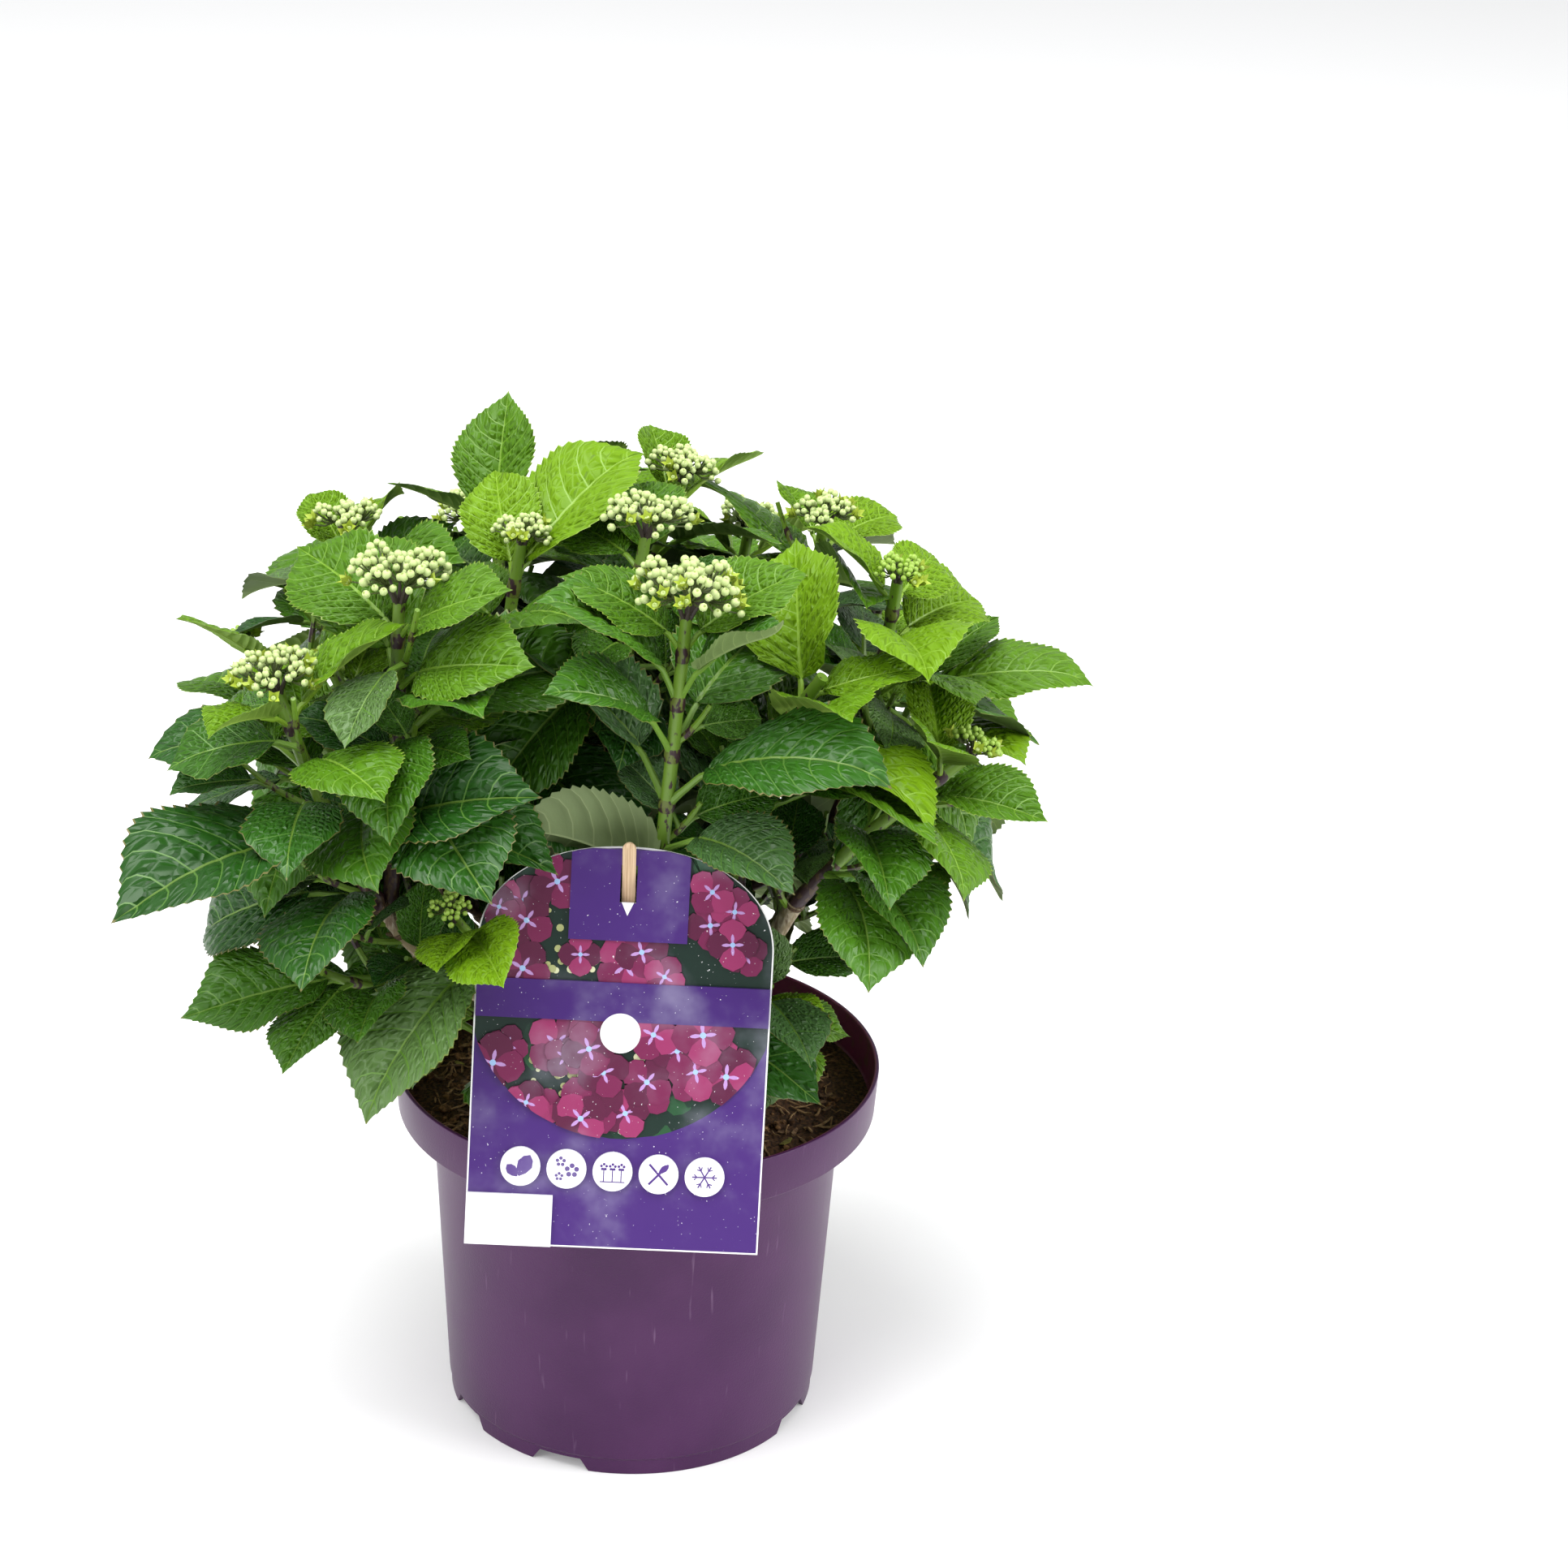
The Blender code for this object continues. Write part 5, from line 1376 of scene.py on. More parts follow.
def dress_plant(finishes):
    placed = Placed()
    for node in ("pot", "soil", "care_tag", "tag_stick"):
        placed.add_object(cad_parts[node])
    woody, green, leaves = grow(placed)
    placed.add_solid("room_behind_card", *plate(tag_outline(-TWIG_FROM_CARD), -TWIG_FROM_CARD, 0.0))
    twigs = grow_twigs(woody, green, placed)

    bearers = {shoot.name: shoot.cane for shoot in SHOOTS}
    bearers.update({bough.name: bough.cane for bough in BOUGHS})
    foliage, stems = {}, {}
    buds = Mass()

    def cane_of(name):
        while name in bearers:
            name = bearers[name]
        return name

    for shoot in SHOOTS:
        cane = cane_of(shoot.name)
        blades, stalks = foliage.setdefault(cane, Mass()), stems.setdefault(cane, Mass())
        stem = green[shoot.name]
        add_stem(stalks, stem, pair_places(shoot, stem), 10, 0.3, 1.2 if shoot.pairs > 3 else 0.85)
        add_leaves(blades, shoot, leaves[shoot.name], FINE, AGES.get(shoot.name, USUAL_AGES))
        if shoot.bloom:
            add_head(buds, stalks, shoot, stem, random.Random(f"head {shoot.name}"))
    for shoot, stem, found in twigs:
        cane = cane_of(shoot.cane)
        add_stem(stems[cane], stem, pair_places(shoot, stem), 6, 0.0)
        add_leaves(foliage[cane], shoot, found, PLAIN)

    for cane, mass in foliage.items():
        made = mass.make(f"leaves_of_{cane}", finishes, "foliage")
        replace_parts(made, *[shoot.name for shoot in SHOOTS if cane_of(shoot.name) == cane])
    for cane, mass in stems.items():
        mass.make(f"stems_of_{cane}", finishes, "foliage")
    buds.make("buds", finishes, "foliage", crease=70.0)
    return woody


# -------------------- woody bark
BARK_SIDES = 22
ROWS_PER_NODE = 12
RING_SWELL, RING_REACH, RING_HALF = 0.20, 0.0016, 0.0013
RING_EDGES = (-0.0011, -0.0005, 0.0005, 0.0011)
FLARE_SHARE = 0.6
BARK_RELIEF = 0.00035
BARK_LINES, LINE_DRIFT, BARK_LUMPS, LUMP_SHARE = 3.4, 0.11, 260, 0.6
FOOT_BURIED = 0.003
TIP_SUNK = 0.0025
SCALE_PATH = (-0.0004, 0.0008, 0.0018, 0.0028, 0.0034)
SCALE_GIRTHS = (0.0008, 0.0012, 0.0011, 0.0006, 0.0002)
SCALE_OUT, SCALE_RISE = 0.9, 0.0008  # of the stem's radius, and over its ring


def bark_rows(stem, foot_is_root):
    """Places along a cane and how far each is from the nearest ring of old leaves."""
    nodes = node_count(stem)
    rows = []
    for i in range(ROWS_PER_NODE * nodes + 1):
        t = i / (ROWS_PER_NODE * nodes)
        near = abs(t * nodes - round(t * nodes)) * stem.length / nodes
        rows.append((t, 1.0 if foot_is_root and t < 0.5 / nodes else near))
    for i in range(1, nodes):
        rows += [(i / nodes + shift / stem.length, abs(shift)) for shift in RING_EDGES]
    return sorted(rows)


def bark_skin(stem, foot_is_root, seed):
    """A cane's skin, lined lengthwise, with a swollen ring at each node and a flare at a rooted foot."""
    rows = bark_rows(stem, foot_is_root)
    path, radii = [], []
    for t, near in rows:
        girth = stem.radius(t) * (1 + RING_SWELL * math.exp(-((near / RING_REACH) ** 2)))
        if foot_is_root:
            rise = t * stem.length / (FLARE_SHARE * FLARE_HEIGHT)
            girth *= 1 + (ROOT_FLARE - 1) * math.exp(-(rise**2))
        path.append(stem.point(t))
        radii.append(girth)
    path.insert(0, path[0] - stem.along(0.0) * (FOOT_BURIED if foot_is_root else TIP_SUNK))
    radii.insert(0, radii[0] * 1.05)
    rows.insert(0, (0.0, 1.0))
    points, faces = tube(path, radii, BARK_SIDES)
    centres = np.repeat(np.array(path), BARK_SIDES, axis=0)
    away = points - centres
    girth = np.linalg.norm(away, axis=1)
    for i, point in enumerate(points):
        row, side = divmod(i, BARK_SIDES)
        lines = noise.noise((math.cos(math.tau * side / BARK_SIDES) * BARK_LINES, row * LINE_DRIFT, seed))
        lumps = noise.noise(Vector(point) * BARK_LUMPS)
        away[i] *= 1 + BARK_RELIEF * (lines + LUMP_SHARE * lumps) / girth[i]
    roles = [0]
    for (_, low), (_, high) in zip(rows, rows[1:]):
        roles += [int((low + high) / 2 < RING_HALF)] * BARK_SIDES
    return centres + away, faces, [*roles, 0]


def add_dormant_buds(mass, stem, turn):
    """A pair of small scaly buds at each ring, a quarter turned from ring to ring."""
    nodes = node_count(stem)
    for i in range(1, nodes):
        t = i / nodes
        along = np.array(stem.along(t))
        side = unit(np.cross(along, (0.2, 0.1, 1.0)))
        for half in (0, 1):
            out = way_at(turn + QUARTER * i + math.pi * half, side, np.cross(along, side))
            foot = np.array(stem.point(t)) + out * stem.radius(t) * SCALE_OUT + along * SCALE_RISE
            heading = along * 0.8 + out * 0.6
            mass.add(*tube([foot + heading * step for step in SCALE_PATH], SCALE_GIRTHS, 8), "dormant_bud")


def bark_finishes():
    bark = Finish("grey_bark", (0.34, 0.28, 0.19), 0.75)
    lines = bark.noise(900.0, 4.0, (1.0, 1.0, 0.12))
    patches = bark.noise(120.0, 2.0)
    pale = bark.blend(lines.between(0.35, 0.65), (0.19, 0.13, 0.08), (0.50, 0.43, 0.31))
    bark.colour(bark.blend(patches.between(0.48, 0.62), pale, (0.24, 0.19, 0.10)))
    bark.bump(lines + bark.noise(2200.0) * 0.4, 0.0004)
    ring_skin = grained(
        "ring_bark", (0.085, 0.045, 0.022), 0.8, (1500.0, 3.0), (0.35, 0.65),
        (0.045, 0.022, 0.012), (0.13, 0.075, 0.035), 0.0005,
    )
    bud_skin = grained(
        "dormant_bud", (0.10, 0.06, 0.02), 0.55, (1400.0, 2.0), (0.4, 0.6),
        (0.07, 0.035, 0.015), (0.13, 0.12, 0.03), 0.0003,
    )
    return by_name([bark.material, ring_skin, bud_skin])


def dress_canes(woody):
    finishes = bark_finishes()
    carried = {bough.name: bough.cane for bough in BOUGHS}
    for index, cane in enumerate(CANES):
        mass = Mass()
        names = [name for name in woody if carried.get(name, name) == cane.name]
        for name in names:
            points, faces, roles = bark_skin(woody[name], name == cane.name, float(index))
            mass.add(points, faces, ["grey_bark", "ring_bark"], roles)
            add_dormant_buds(mass, woody[name], index * 1.3)
        made = mass.make(f"bark_of_{cane.name}", finishes, "bark", crease=60.0)
        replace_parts(made, *names)


# -------------------- the pot
LIP_ROUND = 0.0007
ROUND_STEPS = 3
ON_AXIS = 1e-6


def rounded(profile):
    """A profile of (radius, height, rounding), with each corner turned into an arc of short steps."""
    smooth = []
    for i, (radius, height, rounding) in enumerate(profile):
        here = Vector((radius, height))
        if rounding == 0.0:
            smooth.append(here)
            continue
        before = Vector(profile[i - 1][:2]) - here
        after = Vector(profile[i + 1][:2]) - here
        start, end = here + before.normalized() * rounding, here + after.normalized() * rounding
        for step in range(ROUND_STEPS + 1):
            t = step / ROUND_STEPS
            smooth.append(start.lerp(here, t).lerp(here.lerp(end, t), t))
    return smooth


def turned(name, profile, sides):
    """A closed profile of radius and height, from the axis round to the axis, turned about Z."""
    points, faces, starts = [], [], []
    for radius, height in profile:
        starts.append(len(points))
        points += [(*polar(radius, turn), height) for turn in turns(1 if radius < ON_AXIS else sides)]
    for row, (a, b) in enumerate(zip(starts, starts[1:])):
        for i, j in around(sides):
            if profile[row][0] < ON_AXIS:
                faces.append([a, b + i, b + j])
            elif profile[row + 1][0] < ON_AXIS:
                faces.append([a + i, b, a + j])
            else:
                faces.append([a + i, b + i, b + j, a + j])
    return link_out(name, points, faces)


def link_out(name, points, faces):
    """A closed mesh whose faces all look outward."""
    shape = bmesh.new()
    corners = [shape.verts.new(point) for point in points]
    for face in faces:
        shape.faces.new([corners[i] for i in face])
    bmesh.ops.recalc_face_normals(shape, faces=shape.faces)
    mesh = bpy.data.meshes.new(name)
    shape.to_mesh(mesh)
    shape.free()
    return linked(name, mesh)


def pot_section():
    """The wall's section with its roundings, from the pad's middle up the outside and down the inside."""
    band_foot = POT_HEIGHT - BAND_HEIGHT
    band_radius = RIM_RADIUS - BAND_TAPER
    body_foot = FOOT_RADIUS + FOOT_STEP
    floor_top = FLOOR_HEIGHT + POT_WALL
    return [
        (0.0, 0.0, 0.0),
        (PAD_RADIUS, 0.0, 0.001),
        (PAD_RADIUS + PAD_SLOPE, FLOOR_HEIGHT, 0.001),
        (FOOT_RADIUS - POT_WALL, FLOOR_HEIGHT, 0.0008),
        (FOOT_RADIUS - POT_WALL, 0.0, 0.0004),
        (FOOT_RADIUS, 0.0, 0.0005),
        (FOOT_RADIUS, FOOT_HEIGHT, 0.0003),
        (body_foot, FOOT_HEIGHT + FOOT_STEP, 0.0004),
        (SHOULDER_RADIUS, band_foot, 0.0007),
        (band_radius, band_foot, 0.0009),
        (RIM_RADIUS, POT_HEIGHT, LIP_ROUND),
        (RIM_RADIUS - POT_WALL, POT_HEIGHT, LIP_ROUND),
        (band_radius - POT_WALL, band_foot + POT_WALL, 0.0015),
        (SHOULDER_RADIUS - POT_WALL, band_foot + POT_WALL, 0.0008),
        (body_foot - POT_WALL, floor_top, 0.001),
        (PAD_RADIUS + PAD_SLOPE + POT_WALL, floor_top, 0.0008),
        (PAD_RADIUS + POT_WALL, POT_WALL, 0.0008),
        (0.0, POT_WALL, 0.0),
    ]


def notch_cutter(name, turn):
    """A wedge that is wider at the ground, across the foot ring."""
    rows = ((NOTCH_WIDTH_LOW, -CUT_PAST), (NOTCH_WIDTH_LOW, 0.0), (NOTCH_WIDTH_HIGH, NOTCH_HEIGHT))
    points = []
    for radius in (FOOT_RADIUS - NOTCH_REACH, FOOT_RADIUS + NOTCH_REACH):
        points += [(radius, -width / 2, height) for width, height in rows]
        points += [(radius, width / 2, height) for width, height in reversed(rows)]
    spin = Matrix.Rotation(turn, 3, "Z")
    return link_out(name, [spin @ Vector(p) for p in points], loft_faces(2, 2 * len(rows)))


def settle(made):
    """Puts the result of an object's modifiers into its own mesh."""
    graph = bpy.context.evaluated_depsgraph_get()
    shape = bpy.data.meshes.new_from_object(made.evaluated_get(graph))
    made.modifiers.clear()
    made.data = shape


def cut_out(made, cutters):
    for cutter in cutters:
        modifier = made.modifiers.new(cutter.name, "BOOLEAN")
        modifier.operation = "DIFFERENCE"
        modifier.solver = "EXACT"
        modifier.object = cutter
    settle(made)
    for cutter in cutters:
        bpy.data.objects.remove(cutter)


def pot_finishes():
    outside = Finish("plum_plastic", (0.048, 0.006, 0.057), 0.36, Specular_IOR_Level=0.30)
    haze = outside.noise(26.0, 3.0)
    scuffs = outside.noise(420.0, 2.0, (1.0, 1.0, 0.08)).between(0.66, 0.78)
    clouded = outside.blend(haze.between(0.3, 0.7), (0.042, 0.004, 0.051), (0.055, 0.009, 0.064))
    outside.colour(outside.blend(scuffs * 0.35, clouded, (0.22, 0.13, 0.23)))
    outside.rough(haze * 0.14 + scuffs * 0.12 + 0.29)
    outside.bump(outside.noise(1500.0) + haze * 0.6, 0.00008)
    inside = Finish("wine_plastic", (0.170, 0.018, 0.075), 0.42)
    dust = inside.noise(160.0, 4.0)
    inside.colour(inside.blend(dust.between(0.5, 0.75), (0.170, 0.018, 0.075), (0.150, 0.050, 0.050)))
    inside.rough(dust * 0.3 + 0.3)
    return outside.material, inside.material


def dress_pot():
    made = turned("pot_fine", rounded(pot_section()), POT_SIDES)
    cut_out(made, [notch_cutter(f"notch_{i}", turn) for i, turn in enumerate(NOTCH_TURNS)])
    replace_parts(dressed(made, pot_finishes(), 32.0), "pot")
    for face in made.data.polygons:
        middle, normal = face.center, face.normal
        inward = middle.x * normal.x + middle.y * normal.y < 0 and middle.z > FLOOR_HEIGHT
        face.material_index = int(inward)


# -------------------- soil
SOIL_RINGS, SOIL_TURNS = 70, 210
SOIL_MOUND, SOIL_SUNK = 0.0022, 0.0016
# How many lumps, crumbs and grains of peat there are to a metre, nearly, and how high they stand.
LUMPS, CRUMBS, GRAINS = (70, 0.0014), (230, 0.0028), (620, 0.0007)
CLOD_COUNT, FIBRE_COUNT, CHIP_COUNT, FLAKE_COUNT = 820, 480, 150, 12
CLOD_LOW, CLOD_HIGH, CLOD_LUMPS = 0.0007, 0.0026, 0.45
CHIP_OUTLINE = ((-0.5, -0.4), (0.0, -0.55), (0.5, -0.25), (0.55, 0.3), (0.1, 0.5), (-0.45, 0.4))
FIBRE_PATH, FIBRE_GIRTHS = (-0.5, -0.25, 0.0, 0.25, 0.5), (0.6, 1, 1, 0.9, 0.4)
ON_PEAT = 0.0006  # how high fibres and chips lie over the peat


def soil_height(x, y):
    """Peat that lies in crumbs, a little higher towards the canes."""
    out = math.hypot(x, y) / RIM_RADIUS
    place = Vector((x, y, 0.0))
    lumps = noise.noise(place * LUMPS[0]) * LUMPS[1]
    crumbs = abs(noise.noise(place * CRUMBS[0] + Vector((7.0, 0.0, 0.0)))) * CRUMBS[1]
    grains = noise.noise(place * GRAINS[0]) * GRAINS[1]
    return SOIL_LEVEL + SOIL_MOUND * (1 - out * out) + lumps + crumbs + grains - SOIL_SUNK


def on_peat(x, y):
    return x, y, soil_height(x, y)


def soil_skin():
    """The closed body of peat: a crumbly top and a plain side and foot that follow the pot's inside."""
    clear = POT_WALL + GAP
    edge = RIM_RADIUS - BAND_TAPER - clear
    points, faces = [], []
    for row in range(1, SOIL_RINGS + 1):
        radius = edge * row / SOIL_RINGS
        points += [on_peat(*polar(radius, turn)) for turn in turns(SOIL_TURNS, 0.5 * (row % 2))]
    band = POT_HEIGHT - BAND_HEIGHT + clear
    foot = FLOOR_HEIGHT + POT_WALL + GAP
    for radius, height in ((edge, band), (SHOULDER_RADIUS - clear, band), (FOOT_RADIUS - clear, foot)):
        points += [(*polar(radius, turn), height) for turn in turns(SOIL_TURNS)]
    for a in range(0, (SOIL_RINGS + 2) * SOIL_TURNS, SOIL_TURNS):
        b = a + SOIL_TURNS
        faces += [[a + i, b + i, b + j, a + j] for i, j in around(SOIL_TURNS)]
    points += [on_peat(0.0, 0.0), (0.0, 0.0, foot)]
    last = (SOIL_RINGS + 3) * SOIL_TURNS
    for i, j in around(SOIL_TURNS):
        faces += [[last, i, j], [last + 1, last - SOIL_TURNS + j, last - SOIL_TURNS + i]]
    return points, faces


CLOD = bmesh.new()
bmesh.ops.create_icosphere(CLOD, subdivisions=1, radius=1.0)
CLOD_POINTS = [v.co.copy() for v in CLOD.verts]
CLOD_FACES = [[v.index for v in face.verts] for face in CLOD.faces]
CLOD.free()


def on_soil(draw, margin=0.004):
    radius = (RIM_RADIUS - POT_WALL - BAND_TAPER - margin) * math.sqrt(draw.random())
    return Vector(on_peat(*polar(radius, draw.uniform(0, math.tau))))


def tipped(draw, low, high):
    """A turn about Z by chance, after a tip about X between two angles."""
    spin = Matrix.Rotation(draw.uniform(0, math.tau), 3, "Z")
    return spin @ Matrix.Rotation(draw.uniform(low, high), 3, "X")


def add_clod(mass, draw):
    size = CLOD_LOW + (CLOD_HIGH - CLOD_LOW) * draw.random() ** 2.5
    middle = on_soil(draw)
    spin = tipped(draw, 0, 3)
    stretch = Matrix.Diagonal((draw.uniform(0.7, 1.3), draw.uniform(0.7, 1.1), draw.uniform(0.5, 0.9)))
    points = []
    for point in CLOD_POINTS:
        lump = 1 + CLOD_LUMPS * noise.noise(point * 1.7 + middle * 900)
        points.append(middle + spin @ (stretch @ point) * size * lump)
    mass.add(points, CLOD_FACES, draw.choice(("dark_peat", "brown_peat", "brown_peat")))


def add_fibre(mass, draw):
    """A bent root fibre that lies on the peat."""
    middle = on_soil(draw, 0.010)
    turn, length = draw.uniform(0, math.tau), draw.uniform(0.004, 0.013)
    bow = draw.uniform(-0.35, 0.35)
    path = []
    for t in FIBRE_PATH:
        x = middle.x + length * (t * math.cos(turn) - bow * t * t * math.sin(turn))
        y = middle.y + length * (t * math.sin(turn) + bow * t * t * math.cos(turn))
        path.append((x, y, soil_height(x, y) + ON_PEAT + draw.uniform(0, 0.0007)))
    girth = draw.uniform(0.00018, 0.00062)
    mass.add(*tube(path, [girth * share for share in FIBRE_GIRTHS], 5), "pale_fibre")


def add_chip(mass, draw, finish, length, thin):
    """A flat scrap of wood or of a fallen leaf, tipped a little."""
    middle = on_soil(draw, 0.008) + UP * ON_PEAT
    spin = tipped(draw, -0.5, 0.5)
    wide = length * draw.uniform(0.3, 0.55)
    points = []
    for lift in (-thin / 2, thin / 2):
        for x, y in CHIP_OUTLINE:
            curve = lift + 0.25 * length * (x * x - 0.1)
            points.append(middle + spin @ Vector((x * length, y * wide, curve)))
    mass.add(points, loft_faces(2, len(CHIP_OUTLINE)), finish)


def soil_finishes():
    shades = {
        "dark_peat": ((0.026, 0.010, 0.003), (0.130, 0.060, 0.022)),
        "brown_peat": ((0.090, 0.042, 0.014), (0.290, 0.150, 0.056)),
        "pale_fibre": ((0.24, 0.135, 0.055), (0.48, 0.31, 0.15)),
        "wood_chip": ((0.13, 0.07, 0.035), (0.29, 0.18, 0.09)),
        "fallen_scrap": ((0.22, 0.19, 0.04), (0.34, 0.31, 0.07)),
    }
    return by_name(
        grained(name, high, 0.92, (700.0, 4.0), (0.35, 0.68), low, high, 0.0006)
        for name, (low, high) in shades.items()
    )


def dress_soil():
    draw = random.Random("peat")
    mass = Mass()
    mass.add(*soil_skin(), "dark_peat")
    for _ in range(CLOD_COUNT):
        add_clod(mass, draw)
    for _ in range(FIBRE_COUNT):
        add_fibre(mass, draw)
    for _ in range(CHIP_COUNT):
        add_chip(mass, draw, "wood_chip", draw.uniform(0.002, 0.006), 0.0005)
    for _ in range(FLAKE_COUNT):
        add_chip(mass, draw, "fallen_scrap", draw.uniform(0.004, 0.009), 0.0003)
    made = mass.make("soil_fine", soil_finishes(), "soil", crease=40.0)
    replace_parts(made, "soil")


# -------------------- card and stick
TAG_ARCH_STEPS = 90
CARD_CREASE = 30.0
PRINT_EDGE = 0.0006  # the white left round the print
PICTURE_TOP = TAG_HEIGHT - 0.0009
PRINT_THICKNESS = 0.00004
PICTURE_MIDDLE, PICTURE_RADIUS = (0.0010, 0.0985), 0.0570
BANNER_LOW, BANNER_HIGH = 0.0855, 0.1000
CREST_LEFT, CREST_RIGHT, CREST_FOOT = -0.0210, 0.0222, 0.1155
PANEL_RIGHT, PANEL_HIGH = -0.0223, 0.0194
DISC_HEIGHT, DISC_RADIUS, DISC_PITCH = 0.0294, 0.0073, 0.0169
BIG_DISC, BIG_DISC_RADIUS = (-0.0004, 0.0813), 0.0074
BANNER_HALF = 0.0534
FLAP_HALF, FLAP_RISE, FLAP_DROP = 0.0022, 0.0002, 0.0046
SLOT_LOW, SLOT_HIGH = (TAG_HEIGHT - SLOT_DROP + SLOT_LENGTH / 2 * way for way in (-1, 1))
LEAF_COUNT, DOT_COUNT, FLORET_COUNT = 34, 160, 96
PETAL = ((0.06, 0.05), (0.28, 0.34), (0.58, 0.50), (0.84, 0.34), (1.0, 0.0))
LAYER, THIN_LAYER, PICTURE_LAYERS = 0.000004, 0.000001, 0.00003
PRINT_SUNK = 0.00002
SIGN_LINE = 0.0004


def tag_place():
    """The frame of the tag: X along its foot, Y up its face, Z out of its front."""
    rim_clear = RIM_RADIUS + GAP + TAG_THICKNESS / 2 / math.cos(TAG_LEAN)
    foot_y = -rim_clear - (POT_HEIGHT - TAG_FOOT_Z) * math.tan(TAG_LEAN) - TAG_STAND_OFF
    upright = Matrix.Rotation(math.pi / 2 - TAG_LEAN, 4, "X")
    place = Matrix.Translation((TAG_MIDDLE_X, foot_y, TAG_FOOT_Z))
    return place @ upright @ Matrix.Rotation(-TAG_ROLL, 4, "Z")


def tag_outline(inset=0.0):
    """The card's edge, from its right foot corner round the arch to its left."""
    half = TAG_WIDTH / 2 - inset
    side = TAG_HEIGHT - TAG_ARCH
    outline = [(half, inset)]
    for i in range(TAG_ARCH_STEPS + 1):
        angle = math.pi * i / TAG_ARCH_STEPS
        across = abs(math.cos(angle)) ** (2 / TAG_ARCH_POWER) * math.copysign(1, math.cos(angle))
        up = max(math.sin(angle), 0.0) ** (2 / TAG_ARCH_POWER)
        outline.append((half * across, side + (TAG_ARCH - inset) * up))
    outline.append((-half, inset))
    return outline


def plate(outline, low, high):
    """A flat plate on the card: its outline, and the heights of its back and front over the card's middle."""
    points = [tag_place() @ Vector((x, y, z)) for z in (low, high) for x, y in outline]
    return points, loft_faces(2, len(outline))


def halves(outline):
    """A field that crosses the slot, as two outlines that meet over and under it and leave it open."""
    low, high = (min(y for _, y in outline), max(y for _, y in outline))
    seam = [(0.0, high), (0.0, SLOT_HIGH), (SLOT_WIDTH / 2, SLOT_HIGH), (SLOT_WIDTH / 2, SLOT_LOW)]
    seam += [(0.0, SLOT_LOW), (0.0, low)]
    right = sorted((p for p in outline if p[0] > 1e-6), key=lambda p: (p[1], -p[0]))
    left = sorted((p for p in outline if p[0] < -1e-6), key=lambda p: (p[1], p[0]))
    return right + seam, left[::-1] + [(-x, y) for x, y in reversed(seam)]


class Print:
    """Thin layers laid on the card's front, each one over the last."""

    def __init__(self):
        self.mass = Mass()
        self.face = TAG_THICKNESS / 2
        self.level = self.face + PRINT_THICKNESS

    def lay(self, outline, finish, rise=LAYER):
        self.level += rise
        self.mass.add(*plate(outline, self.face - PRINT_SUNK, self.level), finish)

    def lay_round_slot(self, outline, finish):
        for half, rise in zip(halves(outline), (LAYER, 0.0)):
            self.lay(half, finish, rise)


def shifted(place, x, y):
    return place[0] + x, place[1] + y


def circle(middle, radius, steps=40):
    return [shifted(middle, *polar(radius, turn)) for turn in turns(steps)]


def box(left, right, low, high):
    return [(right, low), (right, high), (left, high), (left, low)]


def card_width_at(height):
    """Half the width of the printed field at a height."""
    side = TAG_HEIGHT - TAG_ARCH
    rise = min(max((height - side) / TAG_ARCH, 0.0), 0.999)
    return (TAG_WIDTH / 2 - PRINT_EDGE) * (1 - rise**TAG_ARCH_POWER) ** (1 / TAG_ARCH_POWER)


def picture_half_width(height):
    """Half the width of the flower picture at a height."""
    below = PICTURE_MIDDLE[1] - height
    arc = math.sqrt(max(PICTURE_RADIUS**2 - below**2, 0.0)) if below > 0 else PICTURE_RADIUS
    return min(arc, card_width_at(height))


def picture_outline(low, high, left=-1.0, right=1.0, steps=60):
    """The part of the picture between two heights, and between two places across the card."""
    heights = [low + (high - low) * i / steps for i in range(steps + 1)]
    sides = [(min(picture_half_width(h), right), h) for h in heights]
    return sides + [(max(-picture_half_width(h), left), h) for h in reversed(heights)]


def petal(middle, turn, length, wide):
    """A broad, blunt petal, by its outline."""
    shape = PETAL + tuple((along, -across) for along, across in PETAL[-2::-1])
    cos, sin = math.cos(turn), math.sin(turn)
    points = []
    for along, across in reversed(shape):
        x, y = length * along, wide * across
        points.append((middle[0] + x * cos - y * sin, middle[1] + x * sin + y * cos))
    return points


def inside_picture(point, margin=0.0):
    x, y = point
    on_banner = BANNER_LOW - margin < y < BANNER_HIGH + margin
    on_crest = CREST_LEFT - margin < x < CREST_RIGHT + margin and y > CREST_FOOT - margin
    return abs(x) < picture_half_width(y) - margin and not on_banner and not on_crest


def clipped(outline):
    """The outline, drawn in to the picture's round foot and to the card's edge where it would reach over."""
    inside = []
    for x, y in outline:
        below = PICTURE_MIDDLE[1] - y
        out = math.hypot(x, below)
        if below > 0 and out > PICTURE_RADIUS:
            x, y = x * PICTURE_RADIUS / out, PICTURE_MIDDLE[1] - below * PICTURE_RADIUS / out
        wide = card_width_at(y)
        inside.append((max(min(x, wide), -wide), y))
    return inside


